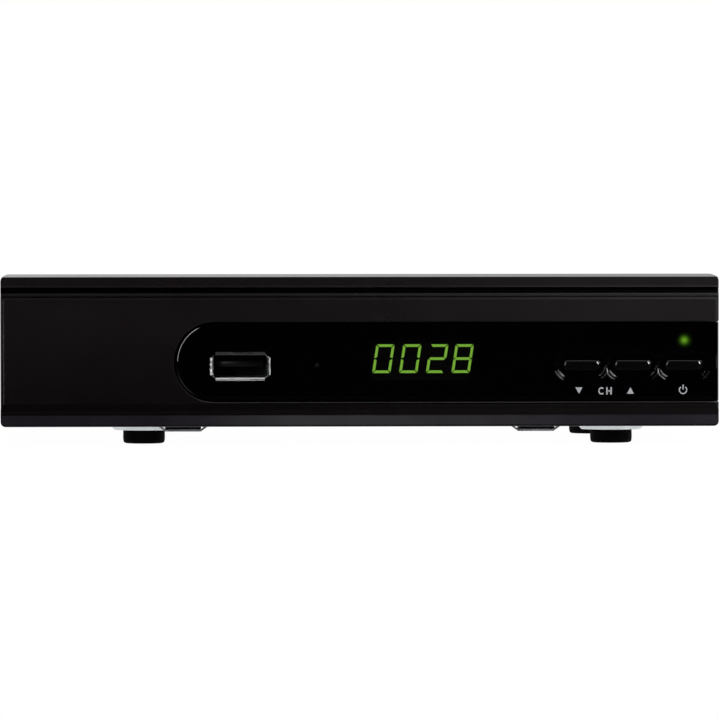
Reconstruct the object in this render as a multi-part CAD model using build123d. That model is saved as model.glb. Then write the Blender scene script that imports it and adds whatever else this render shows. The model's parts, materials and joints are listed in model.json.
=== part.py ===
from build123d import *
import math
import os

# A small satellite television receiver: a folded steel case with a moulded front, a smoked window
# with three keys, a USB socket, a four-digit display, and the aerial, picture, sound and power
# sockets on its rear wall. Millimetres; X runs right seen from the front, Y to the back, Z up.
# The origin is on the table, under the middle of the object's box.

# Case
case_width = 168.0
case_height = 40.0          # table to the bezel's top edge
case_depth = 118.0          # bezel front to rear wall
sheet = 0.8                 # steel of the cover and the chassis
sheet_gap = 0.1             # between the cover and the chassis inside it
cover_inset = 0.4           # the cover lies this far inside the bezel's outline
cover_bend = 1.6            # outer radius of the cover's two bends
cover_seam = 0.2            # between the bezel's rear edge and the sheets
lip_height = 7.0            # rear lip of the cover, outside the rear wall
cover_screw_spacing = 132.0
flange_height = 9.0         # side flanges of the chassis
ledge_depth = 6.0           # flange that the rear wall turns in under the cover

# Feet and the pressed bosses that carry them
foot_height = 3.2
foot_radius = 4.95
boss_drop = 1.7
boss_top_radius = 8.6
boss_bottom_radius = 7.0
foot_inset_left = 33.4      # from the case's left side
foot_inset_right = 24.0
boss_edge_gap = 4.4         # from the chassis's front edge to a boss
foot_inset_rear = 22.0

# Bezel
bezel_overhang = 0.55       # below the chassis floor
bezel_wall = 2.4
bezel_skirt = 6.0
bezel_corner = 1.3          # lower corners of the front outline
bezel_top_corner = 1.9
bezel_edge = 0.9            # rounding between the front and the sides
strip_height = 3.14
top_fall = 0.65             # of the bezel's top edge, from its back to the front
strip_setback = 0.1         # strip and bead lie behind the main face
groove_height = 1.36
groove_depth = 1.6
bead_height = 0.55
nick_height = 0.12
nick_depth = 0.1
shoulder_height = 0.8       # slope from the nick out to the main face
profile_edge = 0.15         # small roundings of the profile
chin_height = 2.6
chin_setback = 0.1          # lower edge of the chin behind the main face
chin_lean = 0.86            # the chin stands out towards its lower edge
crease_depth = 1.2
crease_rise = 0.25
chin_edge = 0.4
brow_height = 1.9           # the face falls back over this height above the crease
brow_radius = 2.5
bezel_lip = 3.0             # tongue of the bezel under the cover
hook_width = 8.4
hook_thickness = 1.2
hook_barb = 0.6
hook_spacing = 82.8
bridge_length = 13.4        # pressed bridges of the chassis that the hooks grip
bridge_slope = 2.55
bridge_width = 3.6
bridge_drop = 1.8
bridge_thickness = 0.5
hook_lift = 0.15            # of a hook above its bridge
hook_slack = 0.3            # between a hook and its bridge

# Window
window_length = 127.45      # from the bezel's right side to the tip of the round end
window_height = 18.5
window_rise = 5.86          # above the bezel's lower edge
window_sink = 0.6           # behind the main face
window_thickness = 1.5
window_gap = 0.1
window_edge = 0.55
window_side_sink = 0.05
window_side_wall = 1.2
window_return = 4.2         # depth of the wall that turns round the right side
window_bend = 1.5
recess_floor = 1.2          # bezel wall behind the window
recess_margin = 1.6
recess_rim = 0.2            # chamfer round the recess

# Keys
key_length = 9.1
key_height = 2.6
key_pitch = 11.95
key_inset = 8.3             # last key's centre from the bezel's right side
key_drop = 0.87             # below the window's middle
key_proud = 0.3             # above the window's face
key_gap = 0.25
key_bevel = 0.5
key_travel = 0.45
key_flange_margin = 1.0
key_flange_thickness = 0.8
key_stop_gap = 0.3          # between the flange and the window's back
key_stem_size = 2.4
dish_length = 12.9
dish_height = 7.2
dish_step = 0.8             # width of the sloping rim
dish_depth = 0.75
switch_size = 6.0
switch_depth = 3.4
plunger_size = 2.8          # square stem, as on switches made to take a cap
plunger_reach = 1.3
plunger_seat = 1.2
plunger_gap = 0.15

# Display, indicator and infrared eye
display_offset = 58.35      # from the window's tip
display_lift = 0.74         # above the window's middle
display_width = 26.0
display_height = 11.0
display_depth = 6.2
display_gap = 0.35          # behind the window
digit_height = 6.83
digit_width = 4.3
digit_pitch = 6.18
digit_slant = 8.6           # degrees
segment_width = 0.9
segment_gap = 0.12
segment_thickness = 0.15
shown_number = "0028"
led_lift = 5.04
led_radius = 1.5
led_collar = 3.8            # side of the square collar between the lamp and the board
led_length = 5.0
led_gap = 0.3
eye_offset = 33.35          # from the window's tip
eye_drop = 0.66
eye_width = 5.6
eye_height = 6.4
eye_lens_radius = 2.3
eye_base = 3.2
opening_gap = 0.5           # round what shows through the bezel

# Boards
board_thickness = 1.6
board_side_margin = 7.7
board_front_gap = 1.4       # between the front board and the main board
board_rear_gap = 0.7
tongue_reach = 7.6          # of the main board under the USB socket
tongue_margin = 3.0
front_board_left = 25.45    # from the window's tip
front_board_right = 4.0     # from the bezel's side
front_board_rise = 4.5      # above the bezel's lower edge
front_board_height = 26.0
pillar_width = 6.0          # of the bezel, under the corners of the front board
pillar_overlap = 3.0        # of the board on a pillar, from its edge
catch_reach = 1.0           # of the pillars' hooks over the board's back
catch_gap = 0.2
screw_radius = 1.4
screw_gap = 0.15
screw_head_radius = 2.75
screw_head_height = 1.8
screw_length = 6.0
screw_room = 0.6            # under the tips of the board's screws
standoff_width = 5.5        # across the flats of the hexagon pillars
standoff_inset = 6.0        # from the board's sides and the tuner
standoff_gap = 4.0          # between the front standoffs and the front bosses
link_pins = 8
link_pitch = 2.54
link_pin = 0.64
link_strip = 2.5

# USB socket
usb_offset = 15.4           # from the window's tip
usb_drop = 1.0
usb_width = 12.5            # clear opening
usb_height = 5.12
usb_wall = 0.3
usb_corner = 2.2
usb_length = 14.0
usb_front_gap = 0.15        # its lips behind the window's face
usb_lip_width = 11.5
usb_lip_height = 3.9
usb_flare = 0.75
usb_flare_depth = 1.0
usb_window_gap = 0.35
usb_tongue_width = 11.1
usb_tongue_thickness = 1.84
usb_tongue_lift = 0.97
usb_tongue_length = 8.6
usb_contact_width = 1.0
usb_contact_thickness = 0.2
usb_contact_length = 7.4
usb_inner_pitch = 2.0
usb_outer_pitch = 7.0

# Rear sockets, each as wide as the room it takes on the board
wall_gap = 0.3              # round each socket in the rear wall
tuner_width = 26.0
tuner_height = 13.0
tuner_length = 45.0
tuner_wall = 0.4
lnb_radius = 4.76           # of the thread's crests
lnb_root_radius = 4.4       # where the nut and the wall hold the barrel
lnb_reach = 10.0
lnb_bore_radius = 2.6
lnb_core_hole_radius = 0.6
lnb_core_sink = 1.0
lnb_nut_width = 11.2
lnb_nut_height = 2.2
hdmi_width = 14.0
hdmi_height = 4.55
hdmi_bevel = 1.7
hdmi_wall = 0.35
hdmi_length = 11.5
hdmi_tongue_width = 11.9
hdmi_tongue_thickness = 1.1
hdmi_tongue_length = 7.0
scart_width = 47.0
scart_height = 16.0
scart_length = 16.0
scart_core_width = 38.0
scart_core_height = 9.6
scart_core_skew = 3.2
scart_groove = 1.4
scart_groove_depth = 9.0
scart_pins_per_row = 10
scart_pin_pitch = 3.4
scart_row_spacing = 5.0
scart_slot_width = 1.0
scart_slot_height = 3.4
scart_slot_depth = 7.0
scart_leaf_gap = 0.3
coax_width = 10.0
coax_height = 12.6
coax_length = 9.5
coax_radius = 4.15
coax_wall_gap = 0.8         # round its sleeve in the rear wall, room for the plug's shell
coax_wall = 0.8
coax_reach = 8.0
coax_axis_lift = 6.5
coax_core_sink = 1.0
coax_core_hole_radius = 1.65
dc_width = 9.0
dc_height = 11.0
dc_length = 14.0
dc_axis_lift = 6.4
dc_bore_radius = 3.15
dc_bore_depth = 10.5
dc_pin_radius = 1.05
dc_pin_sink = 1.0
dc_leaf_width = 2.4
dc_leaf_thickness = 0.4
dc_leaf_length = 8.0

# Parts on the main board
processor_size = 23.0
processor_height = 2.2
pad_size = 18.0
pad_thickness = 0.5
heatsink_size = 28.0
heatsink_base = 2.0
heatsink_fins = 7
heatsink_fin = 1.1
heatsink_height = 9.0
memory_length = 13.0
memory_width = 9.0
memory_height = 1.1
memory_gap = 6.0
flash_length = 8.0
flash_width = 6.0
flash_height = 1.8
crystal_length = 7.0
crystal_width = 5.0
crystal_height = 1.4
can_radius = 5.0
can_height = 12.0
can_pitch = 12.0
can_count = 2
can_offset = 24.0           # in front of the rear wall
coil_size = 7.0
coil_height = 4.2
coil_pitch = 10.5
coil_count = 3
coil_offset = 36.0

# Vents
slot_width = 2.2
slot_pitch = 5.0
top_slot_length = 20.0
top_slot_count = 12
top_slot_rows = 2
top_row_pitch = 27.0
side_slot_length = 12.0
side_slot_count = 7
floor_slot_length = 14.0
floor_slot_count = 7

# Places worked out from the sizes above
half = case_width / 2
front = -(case_depth + lnb_reach) / 2
rear = front + case_depth
wall_inside = rear - sheet
floor_under = foot_height + boss_drop
floor_top = floor_under + sheet
bezel_bottom = floor_under - bezel_overhang
skirt_back = front + bezel_skirt
sheet_front = skirt_back + cover_seam
cover_half = half - cover_inset
cover_top = case_height - cover_inset
cover_back = rear + sheet_gap + sheet
chassis_half = cover_half - sheet - sheet_gap
chassis_top = cover_top - sheet - sheet_gap
flange_top = floor_under + flange_height

window_tip = half - window_length
window_mid = bezel_bottom + window_rise + window_height / 2
window_face = front + window_sink
window_back = window_face + window_thickness
recess_back = window_back + recess_floor
window_side = half - window_side_sink

display_front = window_back + display_gap
front_board_face = display_front + display_depth
front_board_back = front_board_face + board_thickness
display_x = window_tip + display_offset
display_z = window_mid + display_lift
eye_x = window_tip + eye_offset
eye_z = window_mid - eye_drop
usb_x = window_tip + usb_offset
usb_z = window_mid - usb_drop
key_z = window_mid - key_drop
key_centres = [half - key_inset - step * key_pitch for step in (2, 1, 0)]
led_x = key_centres[-1]
led_z = window_mid + led_lift
switch_face = front_board_face - switch_depth
plunger_tip = switch_face - plunger_reach
flange_face = window_back + key_stop_gap
flange_back = flange_face + key_flange_thickness

usb_front = window_face + usb_front_gap
usb_back = usb_front + usb_length
board_top = usb_z - usb_height / 2 - usb_wall
board_bottom = board_top - board_thickness
board_half = chassis_half - board_side_margin
board_front = front_board_back + catch_gap + board_front_gap
board_rear = wall_inside - board_rear_gap
board_mid_y = (board_front + board_rear) / 2

fb_left = window_tip + front_board_left
fb_right = half - front_board_right
fb_bottom = bezel_bottom + front_board_rise
fb_top = fb_bottom + front_board_height
front_feet_y = sheet_front + boss_edge_gap + boss_top_radius
feet = {
    "front_left_foot": (-half + foot_inset_left, front_feet_y),
    "front_right_foot": (half - foot_inset_right, front_feet_y),
    "rear_left_foot": (-half + foot_inset_left, rear - foot_inset_rear),
    "rear_right_foot": (half - foot_inset_right, rear - foot_inset_rear),
}
standoff_rows = (
    front_feet_y + boss_top_radius + standoff_width / 2 + standoff_gap,
    board_rear - tuner_length - standoff_inset,
)
standoffs = [
    (x, y) for x in (-board_half + standoff_inset, board_half - standoff_inset)
    for y in standoff_rows
]
hooks = (-hook_spacing / 2, hook_spacing / 2)
cover_screw_z = cover_top - lip_height / 2
cover_screw_places = (-cover_screw_spacing / 2, cover_screw_spacing / 2)

# The rear sockets share the board's width, with equal room between them
socket_widths = {
    "lnb": tuner_width,
    "hdmi": hdmi_width + 2 * hdmi_wall,
    "scart": scart_width,
    "coax": coax_width,
    "dc": dc_width,
}
socket_room = (2 * board_half - sum(socket_widths.values())) / (len(socket_widths) + 1)
socket_x = {}
socket_edge = -board_half
for socket_name, socket_width in socket_widths.items():
    socket_x[socket_name] = socket_edge + socket_room + socket_width / 2
    socket_edge += socket_room + socket_width
lnb_z = board_top + tuner_height / 2
hdmi_z = board_top + hdmi_wall + hdmi_height / 2
scart_z = board_top + scart_height / 2
coax_z = board_top + coax_axis_lift
dc_z = board_top + dc_axis_lift


def block(x0, x1, y0, y1, z0, z1):
    """Box between two corners."""
    middle = Pos((x0 + x1) / 2, (y0 + y1) / 2, (z0 + z1) / 2)
    return middle * Box(x1 - x0, y1 - y0, z1 - z0)


def facing_front(sketch, y0, y1):
    """Solid between two depths, from a sketch with X to the right and Z up."""
    return extrude(Plane.XZ.offset(-y1) * sketch, amount=y1 - y0)


def lying_flat(sketch, z0, z1):
    """Solid between two heights, from a sketch in X and Y."""
    return extrude(Plane.XY.offset(z0) * sketch, amount=z1 - z0)


def along_x(sketch, x0, x1):
    """Solid between two places across, from a section in Y and Z."""
    return extrude(Plane.YZ.offset(x0) * sketch, amount=x1 - x0)


def rod(x, z, radius, y0, y1):
    """Round bar along Y."""
    return facing_front(Pos(x, z) * Circle(radius), y0, y1)


def cone(x, y, radius0, radius1, z0, z1):
    """Upright cone frustum."""
    return Pos(x, y, (z0 + z1) / 2) * Cone(radius0, radius1, z1 - z0)


def panel(x, z, width, height, y0, y1):
    """Box centred on a point of the front view."""
    return block(x - width / 2, x + width / 2, y0, y1, z - height / 2, z + height / 2)


def pill(x, z, length, height, y0, y1):
    """Bar along Y with the outline of a pill that lies level."""
    return facing_front(Pos(x, z) * SlotOverall(length, height), y0, y1)


# Case


def cover_outline(inset):
    """Upright section of the cover's outside, moved inwards by inset."""
    right = cover_half - inset
    top = cover_top - inset
    bend = cover_bend - inset
    points = [(-right, floor_under), (-right, top), (right, top), (right, floor_under)]
    return make_face(FilletPolyline(*points, radius=[0, bend, bend, 0], close=True))


def screw_hole():
    """Outline of the hole for a screw, with the eight sides of its shank."""
    return RegularPolygon(screw_radius + screw_gap, 8)


def slot_row(count, length):
    """Row of punched vent slots along local X, each one long in local Y."""
    slot = Rectangle(slot_width, length)
    return [Pos((step - (count - 1) / 2) * slot_pitch, 0) * slot for step in range(count)]


def top_cover():
    """Painted cover: top, two sides and a rear lip, with vents in its top and sides."""
    walls = cover_outline(0) - cover_outline(sheet)
    cover = facing_front(walls, sheet_front, cover_back)
    lip = facing_front(cover_outline(0), cover_back - sheet, cover_back)
    cover += lip & block(-half, half, rear, cover_back, cover_top - lip_height, cover_top)
    row = Sketch() + slot_row(top_slot_count, top_slot_length)
    for step in range(top_slot_rows):
        y = board_mid_y + (step - (top_slot_rows - 1) / 2) * top_row_pitch
        cover -= lying_flat(Pos(0, y) * row, cover_top - 2 * sheet, cover_top + sheet)
    side_mid = (flange_top + cover_top) / 2
    side_row = Sketch() + slot_row(side_slot_count, side_slot_length)
    cover -= along_x(Pos(board_mid_y, side_mid) * side_row, -half, half)
    for x in cover_screw_places:
        cover -= facing_front(Pos(x, cover_screw_z) * screw_hole(), rear, cover_back)
    return cover


def bridge_section(thickness_down):
    """Section across a pressed bridge: a flat middle between two slopes."""
    flat = bridge_length / 2 - bridge_slope
    under = floor_under - bridge_drop
    points = [
        (-bridge_length / 2, floor_under + thickness_down),
        (-flat, under + thickness_down),
        (flat, under + thickness_down),
        (bridge_length / 2, floor_under + thickness_down),
    ]
    return points


def latch_bridge(x):
    """Strip at the chassis's front edge, pressed down to let a hook of the bezel in."""
    lower = bridge_section(0)
    upper = bridge_section(bridge_thickness)
    section = make_face(Polyline(*lower, *reversed(upper), close=True))
    return facing_front(Pos(x, 0) * section, sheet_front, sheet_front + bridge_width)


def rear_openings():
    """Everything that is cut out of the rear wall."""
    y0, y1 = wall_inside - sheet, rear + sheet
    lnb = rod(socket_x["lnb"], lnb_z, lnb_radius + wall_gap, y0, y1)
    hdmi = facing_front(hdmi_outline(hdmi_wall + wall_gap), y0, y1)
    scart = panel(
        socket_x["scart"], scart_z, scart_width + 2 * wall_gap, scart_height + 2 * wall_gap, y0, y1
    )
    coax = rod(socket_x["coax"], coax_z, coax_radius + coax_wall_gap, y0, y1)
    dc = panel(
        socket_x["dc"],
        board_top + dc_height / 2,
        dc_width + 2 * wall_gap,
        dc_height + 2 * wall_gap,
        y0,
        y1,
    )
    screws = [
        facing_front(Pos(x, cover_screw_z) * screw_hole(), y0, y1) for x in cover_screw_places
    ]
    return [lnb, hdmi, scart, coax, dc, *screws]


def bottom_chassis():
    """Bare steel tray with side flanges, rear wall, foot bosses, latch bridges and vents."""
    chassis = block(-chassis_half, chassis_half, sheet_front, rear, floor_under, floor_top)
    for side in (-1, 1):
        x0, x1 = sorted((side * chassis_half, side * (chassis_half - sheet)))
        chassis += block(x0, x1, sheet_front, rear, floor_under, flange_top)
    chassis += block(-chassis_half, chassis_half, wall_inside, rear, floor_under, chassis_top)
    ledge_front = rear - ledge_depth
    chassis += block(
        -chassis_half, chassis_half, ledge_front, rear, chassis_top - sheet, chassis_top
    )
    for x, y in feet.values():
        chassis += cone(x, y, boss_bottom_radius, boss_top_radius, foot_height, floor_under)
    slot_depth = bridge_width + 2 * hook_slack + hook_thickness
    for x in hooks:
        chassis -= block(
            x - bridge_length / 2,
            x + bridge_length / 2,
            sheet_front - sheet,
            sheet_front + slot_depth,
            floor_under,
            floor_top,
        )
        chassis += latch_bridge(x)
    floor_row = Sketch() + slot_row(floor_slot_count, floor_slot_length)
    chassis -= lying_flat(Pos(0, board_mid_y) * floor_row, floor_under - sheet, floor_top + sheet)
    chassis &= facing_front(cover_outline(sheet + sheet_gap), sheet_front, rear) + block(
        -half, half, sheet_front, rear, 0, floor_top
    )
    return chassis - rear_openings()


def foot(x, y):
    """Round rubber foot."""
    return lying_flat(Pos(x, y) * Circle(foot_radius), 0, foot_height)


def screw_shank():
    """Thread-cutting shank below the origin, with eight sides."""
    return extrude(RegularPolygon(screw_radius, 8), amount=-screw_length)


def cover_screws():
    """Round-head screws through the cover's rear lip into the rear wall."""
    screw = screw_shank() + extrude(Circle(screw_head_radius), amount=screw_head_height)
    return [Pos(x, cover_back, cover_screw_z) * Rot(-90, 0, 0) * screw for x in cover_screw_places]


def board_screws():
    """Hexagon-head screws of the main board, in the standoffs."""
    head = RegularPolygon(screw_head_radius, 6)
    screw = screw_shank() + extrude(head, amount=screw_head_height)
    return [Pos(x, y, board_top) * screw for x, y in standoffs]


def board_standoffs():
    """Hexagon pillars set in the chassis floor, bored for the board's screws."""
    outline = RegularPolygon(standoff_width / 2, 6, major_radius=False)
    pillar = extrude(outline, amount=board_bottom - floor_top)
    bore_depth = screw_length - board_thickness + screw_room
    bore = extrude(screw_hole(), amount=bore_depth)
    pillar -= Pos(0, 0, board_bottom - floor_top - bore_depth) * bore
    return [Pos(x, y, floor_top) * pillar for x, y in standoffs]


# Front


def bezel_section():
    """Section of the bezel, front to the left: strip, groove, bead, nick, face, crease and chin."""
    strip = front + strip_setback
    groove_top = case_height - strip_height
    bead_top = groove_top - groove_height
    nick_top = bead_top - bead_height
    nick_bottom = nick_top - nick_height
    face_top = nick_bottom - shoulder_height
    crease = bezel_bottom + chin_height
    brow_foot = crease + crease_rise
    corners = [
        (skirt_back, case_height, 0),
        (strip, case_height - top_fall, profile_edge),
        (strip, groove_top, profile_edge),
        (front + groove_depth, groove_top, 0),
        (front + groove_depth, bead_top, 0),
        (strip, bead_top, profile_edge),
        (strip, nick_top, 0),
        (strip + nick_depth, nick_bottom, 0),
        (front, face_top, 0),
        (front, brow_foot + brow_height, brow_radius),
        (front + crease_depth, brow_foot, 0),
        (front + chin_setback + chin_lean, crease, 0),
        (front + chin_setback, bezel_bottom, chin_edge),
        (skirt_back, bezel_bottom, 0),
    ]
    points = [(y, z) for y, z, radius in corners]
    radii = [radius for y, z, radius in corners]
    return make_face(FilletPolyline(*points, radius=radii, close=True))


def window_shape(grow):
    """Window outline seen from the front: one round end, and open past the right side."""
    radius = window_height / 2
    centre = window_tip + radius
    run = half + bezel_wall - centre
    bar = Pos(centre + run / 2, window_mid) * Rectangle(run, window_height + 2 * grow)
    return bar + Pos(centre, window_mid) * Circle(radius + grow)


def usb_hole():
    """Outline of the hole in the window round the USB socket's lips."""
    grow = 2 * (usb_wall + usb_flare + usb_window_gap)
    return Pos(usb_x, usb_z) * RectangleRounded(usb_width + grow, usb_height + grow, usb_corner)


def bezel_openings():
    """What is cut through the recess's floor: display, eye, indicator, keys and USB socket."""
    y0, y1 = window_back - window_sink, recess_back + bezel_wall
    gap = 2 * opening_gap
    display = panel(display_x, display_z, display_width + gap, display_height + gap, y0, y1)
    eye = panel(eye_x, eye_z, eye_width + gap, eye_height + gap, y0, y1)
    led = panel(led_x, led_z, led_collar + gap, led_collar + gap, y0, y1)
    margin = 2 * key_flange_margin + gap
    keys = panel(
        (key_centres[0] + key_centres[-1]) / 2, key_z,
        key_centres[-1] - key_centres[0] + key_length + margin, key_height + margin, y0, y1,
    )
    return [display, eye, led, keys, facing_front(usb_hole(), y0, y1)]


def board_pillars():
    """Posts under the corners of the front board, each with a catch that hooks over its back."""
    inner = fb_top - pillar_overlap
    outer = fb_top + catch_gap + catch_reach
    catch_front = front_board_back + catch_gap
    catch_back = catch_front + catch_reach
    points = [
        (front + bezel_wall, inner), (front_board_face, inner),
        (front_board_face, fb_top + catch_gap), (catch_front, fb_top + catch_gap),
        (catch_front, fb_top - catch_reach), (catch_back, fb_top - catch_reach),
        (catch_back, outer), (front + bezel_wall, outer),
    ]
    section = make_face(Polyline(*points, close=True))
    posts = [along_x(section, x, x + pillar_width) for x in (fb_left, fb_right - pillar_width)]
    board_middle = Plane.XY.offset((fb_bottom + fb_top) / 2)
    return posts + [mirror(post, about=board_middle) for post in posts]


def bezel_hook(x):
    """Barbed tongue at the bezel's lower edge that snaps over a bridge of the chassis."""
    under = floor_under - bridge_drop + bridge_thickness + hook_lift
    tip = sheet_front + bridge_width + hook_slack + hook_thickness
    tongue = block(
        x - hook_width / 2, x + hook_width / 2, skirt_back - bezel_wall, tip,
        under, under + hook_thickness,
    )
    barb = make_face(Polyline(
        (tip - hook_thickness, under), (tip - hook_thickness, under - hook_barb),
        (tip, under), close=True,
    ))
    return tongue + along_x(barb, x - hook_width / 2, x + hook_width / 2)


def front_bezel():
    """Moulded front: profiled face, recess for the window, pillars, tongue and two hooks."""
    height = case_height - bezel_bottom
    middle = (case_height + bezel_bottom) / 2
    bezel = along_x(bezel_section(), -half, half)
    outline = Pos(0, middle) * RectangleRounded(case_width, height, bezel_corner)
    outline &= Pos(0, bezel_bottom) * RectangleRounded(case_width, 2 * height, bezel_top_corner)
    bezel &= facing_front(outline, front, skirt_back)
    plan = Pos(0, skirt_back) * RectangleRounded(case_width, 2 * bezel_skirt, bezel_edge)
    bezel &= lying_flat(plan, bezel_bottom, case_height)
    inner = half - bezel_wall
    cavity = block(
        -inner, inner, front + bezel_wall, skirt_back, bezel_bottom + bezel_wall,
        case_height - bezel_wall,
    )
    bezel -= cavity
    bezel += facing_front(window_shape(recess_margin), front + window_sink, recess_back) & block(
        -half, half - window_side_sink - bezel_edge, front, recess_back, bezel_bottom, case_height
    )
    bezel += board_pillars()
    bezel -= facing_front(window_shape(window_gap), front - window_sink, window_back)
    rim = [
        edge
        for edge in bezel.edges()
        if abs(edge.center().Y - front) < window_gap
        and abs(edge.center().Z - window_mid) < window_height / 2 + 2 * window_gap
        and abs(edge.center().X) < inner
    ]
    bezel = chamfer(rim, recess_rim)
    bezel -= block(
        window_side - window_side_wall - window_gap, half, front,
        window_face + window_return + window_gap,
        window_mid - window_height / 2 - window_gap, window_mid + window_height / 2 + window_gap,
    )
    bezel -= bezel_openings()
    lip_outline = cover_outline(sheet + sheet_gap) - Pos(0, middle) * Rectangle(
        2 * inner, height - 2 * bezel_wall
    )
    lip_root = window_face + window_return + window_gap
    lip = facing_front(lip_outline, lip_root, skirt_back + bezel_lip)
    bezel += lip & block(
        -half, half, front, rear, flange_top + opening_gap, case_height - cover_inset
    )
    for x in hooks:
        bezel += bezel_hook(x)
    return bezel


def display_window():
    """Smoked window: round end, return round the right side, key dishes and holes."""
    low = window_mid - window_height / 2
    high = window_mid + window_height / 2
    inner = window_side - window_side_wall
    return_back = window_face + window_return
    points = [
        (window_tip, window_face), (window_side, window_face), (window_side, return_back),
        (inner, return_back), (inner, window_back), (window_tip, window_back),
    ]
    plan = make_face(FilletPolyline(*points, radius=[0, window_bend, 0, 0, 0, 0], close=True))
    window = lying_flat(plan, low, high) & facing_front(window_shape(0), front, skirt_back)
    rim = [
        edge
        for edge in window.edges()
        if edge.center().Y < window_face + window_bend / 2
        and (edge.center().Z > high - window_edge or edge.center().Z < low + window_edge
             or edge.center().X < window_tip + window_height / 2)
    ]
    window = chamfer(rim, window_edge)
    for x in key_centres:
        outer = SlotOverall(dish_length, dish_height)
        inside = SlotOverall(dish_length - 2 * dish_step, dish_height - 2 * dish_step)
        window -= loft([
            Plane.XZ.offset(-window_face) * (Pos(x, key_z) * outer),
            Plane.XZ.offset(-window_face - dish_depth) * (Pos(x, key_z) * inside),
        ])
        window -= pill(x, key_z, key_length + 2 * key_gap, key_height + 2 * key_gap, front,
                       window_back)
    return window - facing_front(usb_hole(), front, window_back)


def key_cap(x):
    """Key with a bevelled face, a flange behind the window and a stem down to its switch."""
    cap = pill(x, key_z, key_length, key_height, window_face - key_proud, flange_face)
    face = cap.faces().sort_by(Axis.Y)[0]
    cap = chamfer(face.edges(), key_bevel)
    margin = 2 * key_flange_margin
    flange = panel(x, key_z, key_length + margin, key_height + margin, flange_face, flange_back)
    return cap + flange + panel(x, key_z, key_stem_size, key_stem_size, flange_back, plunger_tip)


def key_plunger(x):
    """Switch plunger that the key's stem pushes."""
    return panel(x, key_z, plunger_size, plunger_size, plunger_tip, switch_face + plunger_seat)


def button_switches():
    """Push switches on the front board, each with a well for its plunger."""
    well = plunger_seat + key_travel + plunger_gap
    bodies = []
    for x in key_centres:
        body = panel(x, key_z, switch_size, switch_size, switch_face, front_board_face)
        hole = plunger_size + 2 * plunger_gap
        bodies.append(body - panel(x, key_z, hole, hole, switch_face, switch_face + well))
    return bodies


def segment_bar(start, end, x, z):
    """Hexagonal bar of one display segment between two corners of a slanted digit."""
    ax, az = start
    bx, bz = end
    length = math.hypot(bx - ax, bz - az)
    ux, uz = (bx - ax) / length, (bz - az) / length
    thick = segment_width / 2
    offsets = [
        (segment_gap, 0), (segment_gap + thick, thick), (length - segment_gap - thick, thick),
        (length - segment_gap, 0), (length - segment_gap - thick, -thick),
        (segment_gap + thick, -thick),
    ]
    corners = []
    for along, across in offsets:
        px = ax + ux * along - uz * across
        pz = az + uz * along + ux * across
        corners.append((x + px + pz * math.tan(math.radians(digit_slant)), z + pz))
    outline = make_face(Polyline(*corners, close=True))
    return facing_front(outline, display_front - segment_thickness, display_front)


def display_segments(lit):
    """Segments of the four digits that glow, or the ones that stay dark."""
    side = (digit_width - segment_width) / 2
    rise = (digit_height - segment_width) / 2
    bars = {
        "a": ((-side, rise), (side, rise)),
        "b": ((side, 0), (side, rise)),
        "c": ((side, -rise), (side, 0)),
        "d": ((-side, -rise), (side, -rise)),
        "e": ((-side, -rise), (-side, 0)),
        "f": ((-side, 0), (-side, rise)),
        "g": ((-side, 0), (side, 0)),
    }
    shapes = {"0": "abcdef", "2": "abged", "8": "abcdefg"}
    solids = []
    for place, digit in enumerate(shown_number):
        x = display_x + (place - (len(shown_number) - 1) / 2) * digit_pitch
        for name, (start, end) in bars.items():
            if (name in shapes[digit]) == lit:
                solids.append(segment_bar(start, end, x, display_z))
    return solids


def display_module():
    """Block of the four-digit display, on the front board."""
    return panel(display_x, display_z, display_width, display_height, display_front,
                 front_board_face)


def standby_led():
    """Round flat-topped indicator lamp."""
    tip = window_back + led_gap
    return rod(led_x, led_z, led_radius, tip, tip + led_length)


def led_spacer():
    """Collar that holds the indicator lamp off the front board."""
    return panel(led_x, led_z, led_collar, led_collar, window_back + led_gap + led_length,
                 front_board_face)


def infrared_receiver():
    """Remote-control eye: a moulded block with a round lens."""
    lens_back = front_board_face - eye_base
    base = panel(eye_x, eye_z, eye_width, eye_height, lens_back, front_board_face)
    return base + rod(eye_x, eye_z, eye_lens_radius, window_back + led_gap, lens_back)


def front_board():
    """Upright board behind the bezel."""
    return block(fb_left, fb_right, front_board_face, front_board_back, fb_bottom, fb_top)


# USB socket


def usb_lips():
    """Four flared lips at the mouth of the USB socket."""
    mouth = usb_front + usb_flare_depth
    lips = []
    for side in (-1, 1):
        level = usb_z + side * usb_height / 2
        section = [
            (mouth, level), (mouth, level + side * usb_wall),
            (usb_front, level + side * (usb_wall + usb_flare)), (usb_front, level + side * usb_flare),
        ]
        lips.append(along_x(make_face(Polyline(*section, close=True)), usb_x - usb_lip_width / 2,
                            usb_x + usb_lip_width / 2))
        edge = usb_x + side * usb_width / 2
        plan = [
            (edge, mouth), (edge + side * usb_wall, mouth),
            (edge + side * (usb_wall + usb_flare), usb_front), (edge + side * usb_flare, usb_front),
        ]
        lips.append(lying_flat(make_face(Polyline(*plan, close=True)), usb_z - usb_lip_height / 2,
                               usb_z + usb_lip_height / 2))
    return lips


def usb_outline(grow):
    """Rounded outline of the USB opening, grown by a wall."""
    radius = usb_corner - usb_wall + grow
    return Pos(usb_x, usb_z) * RectangleRounded(usb_width + 2 * grow, usb_height + 2 * grow, radius)


def usb_shell():
    """Folded steel shell of the USB socket with its flared mouth."""
    tube = facing_front(usb_outline(usb_wall) - usb_outline(0), usb_front + usb_flare_depth, usb_back)
    return tube + usb_lips()


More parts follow.
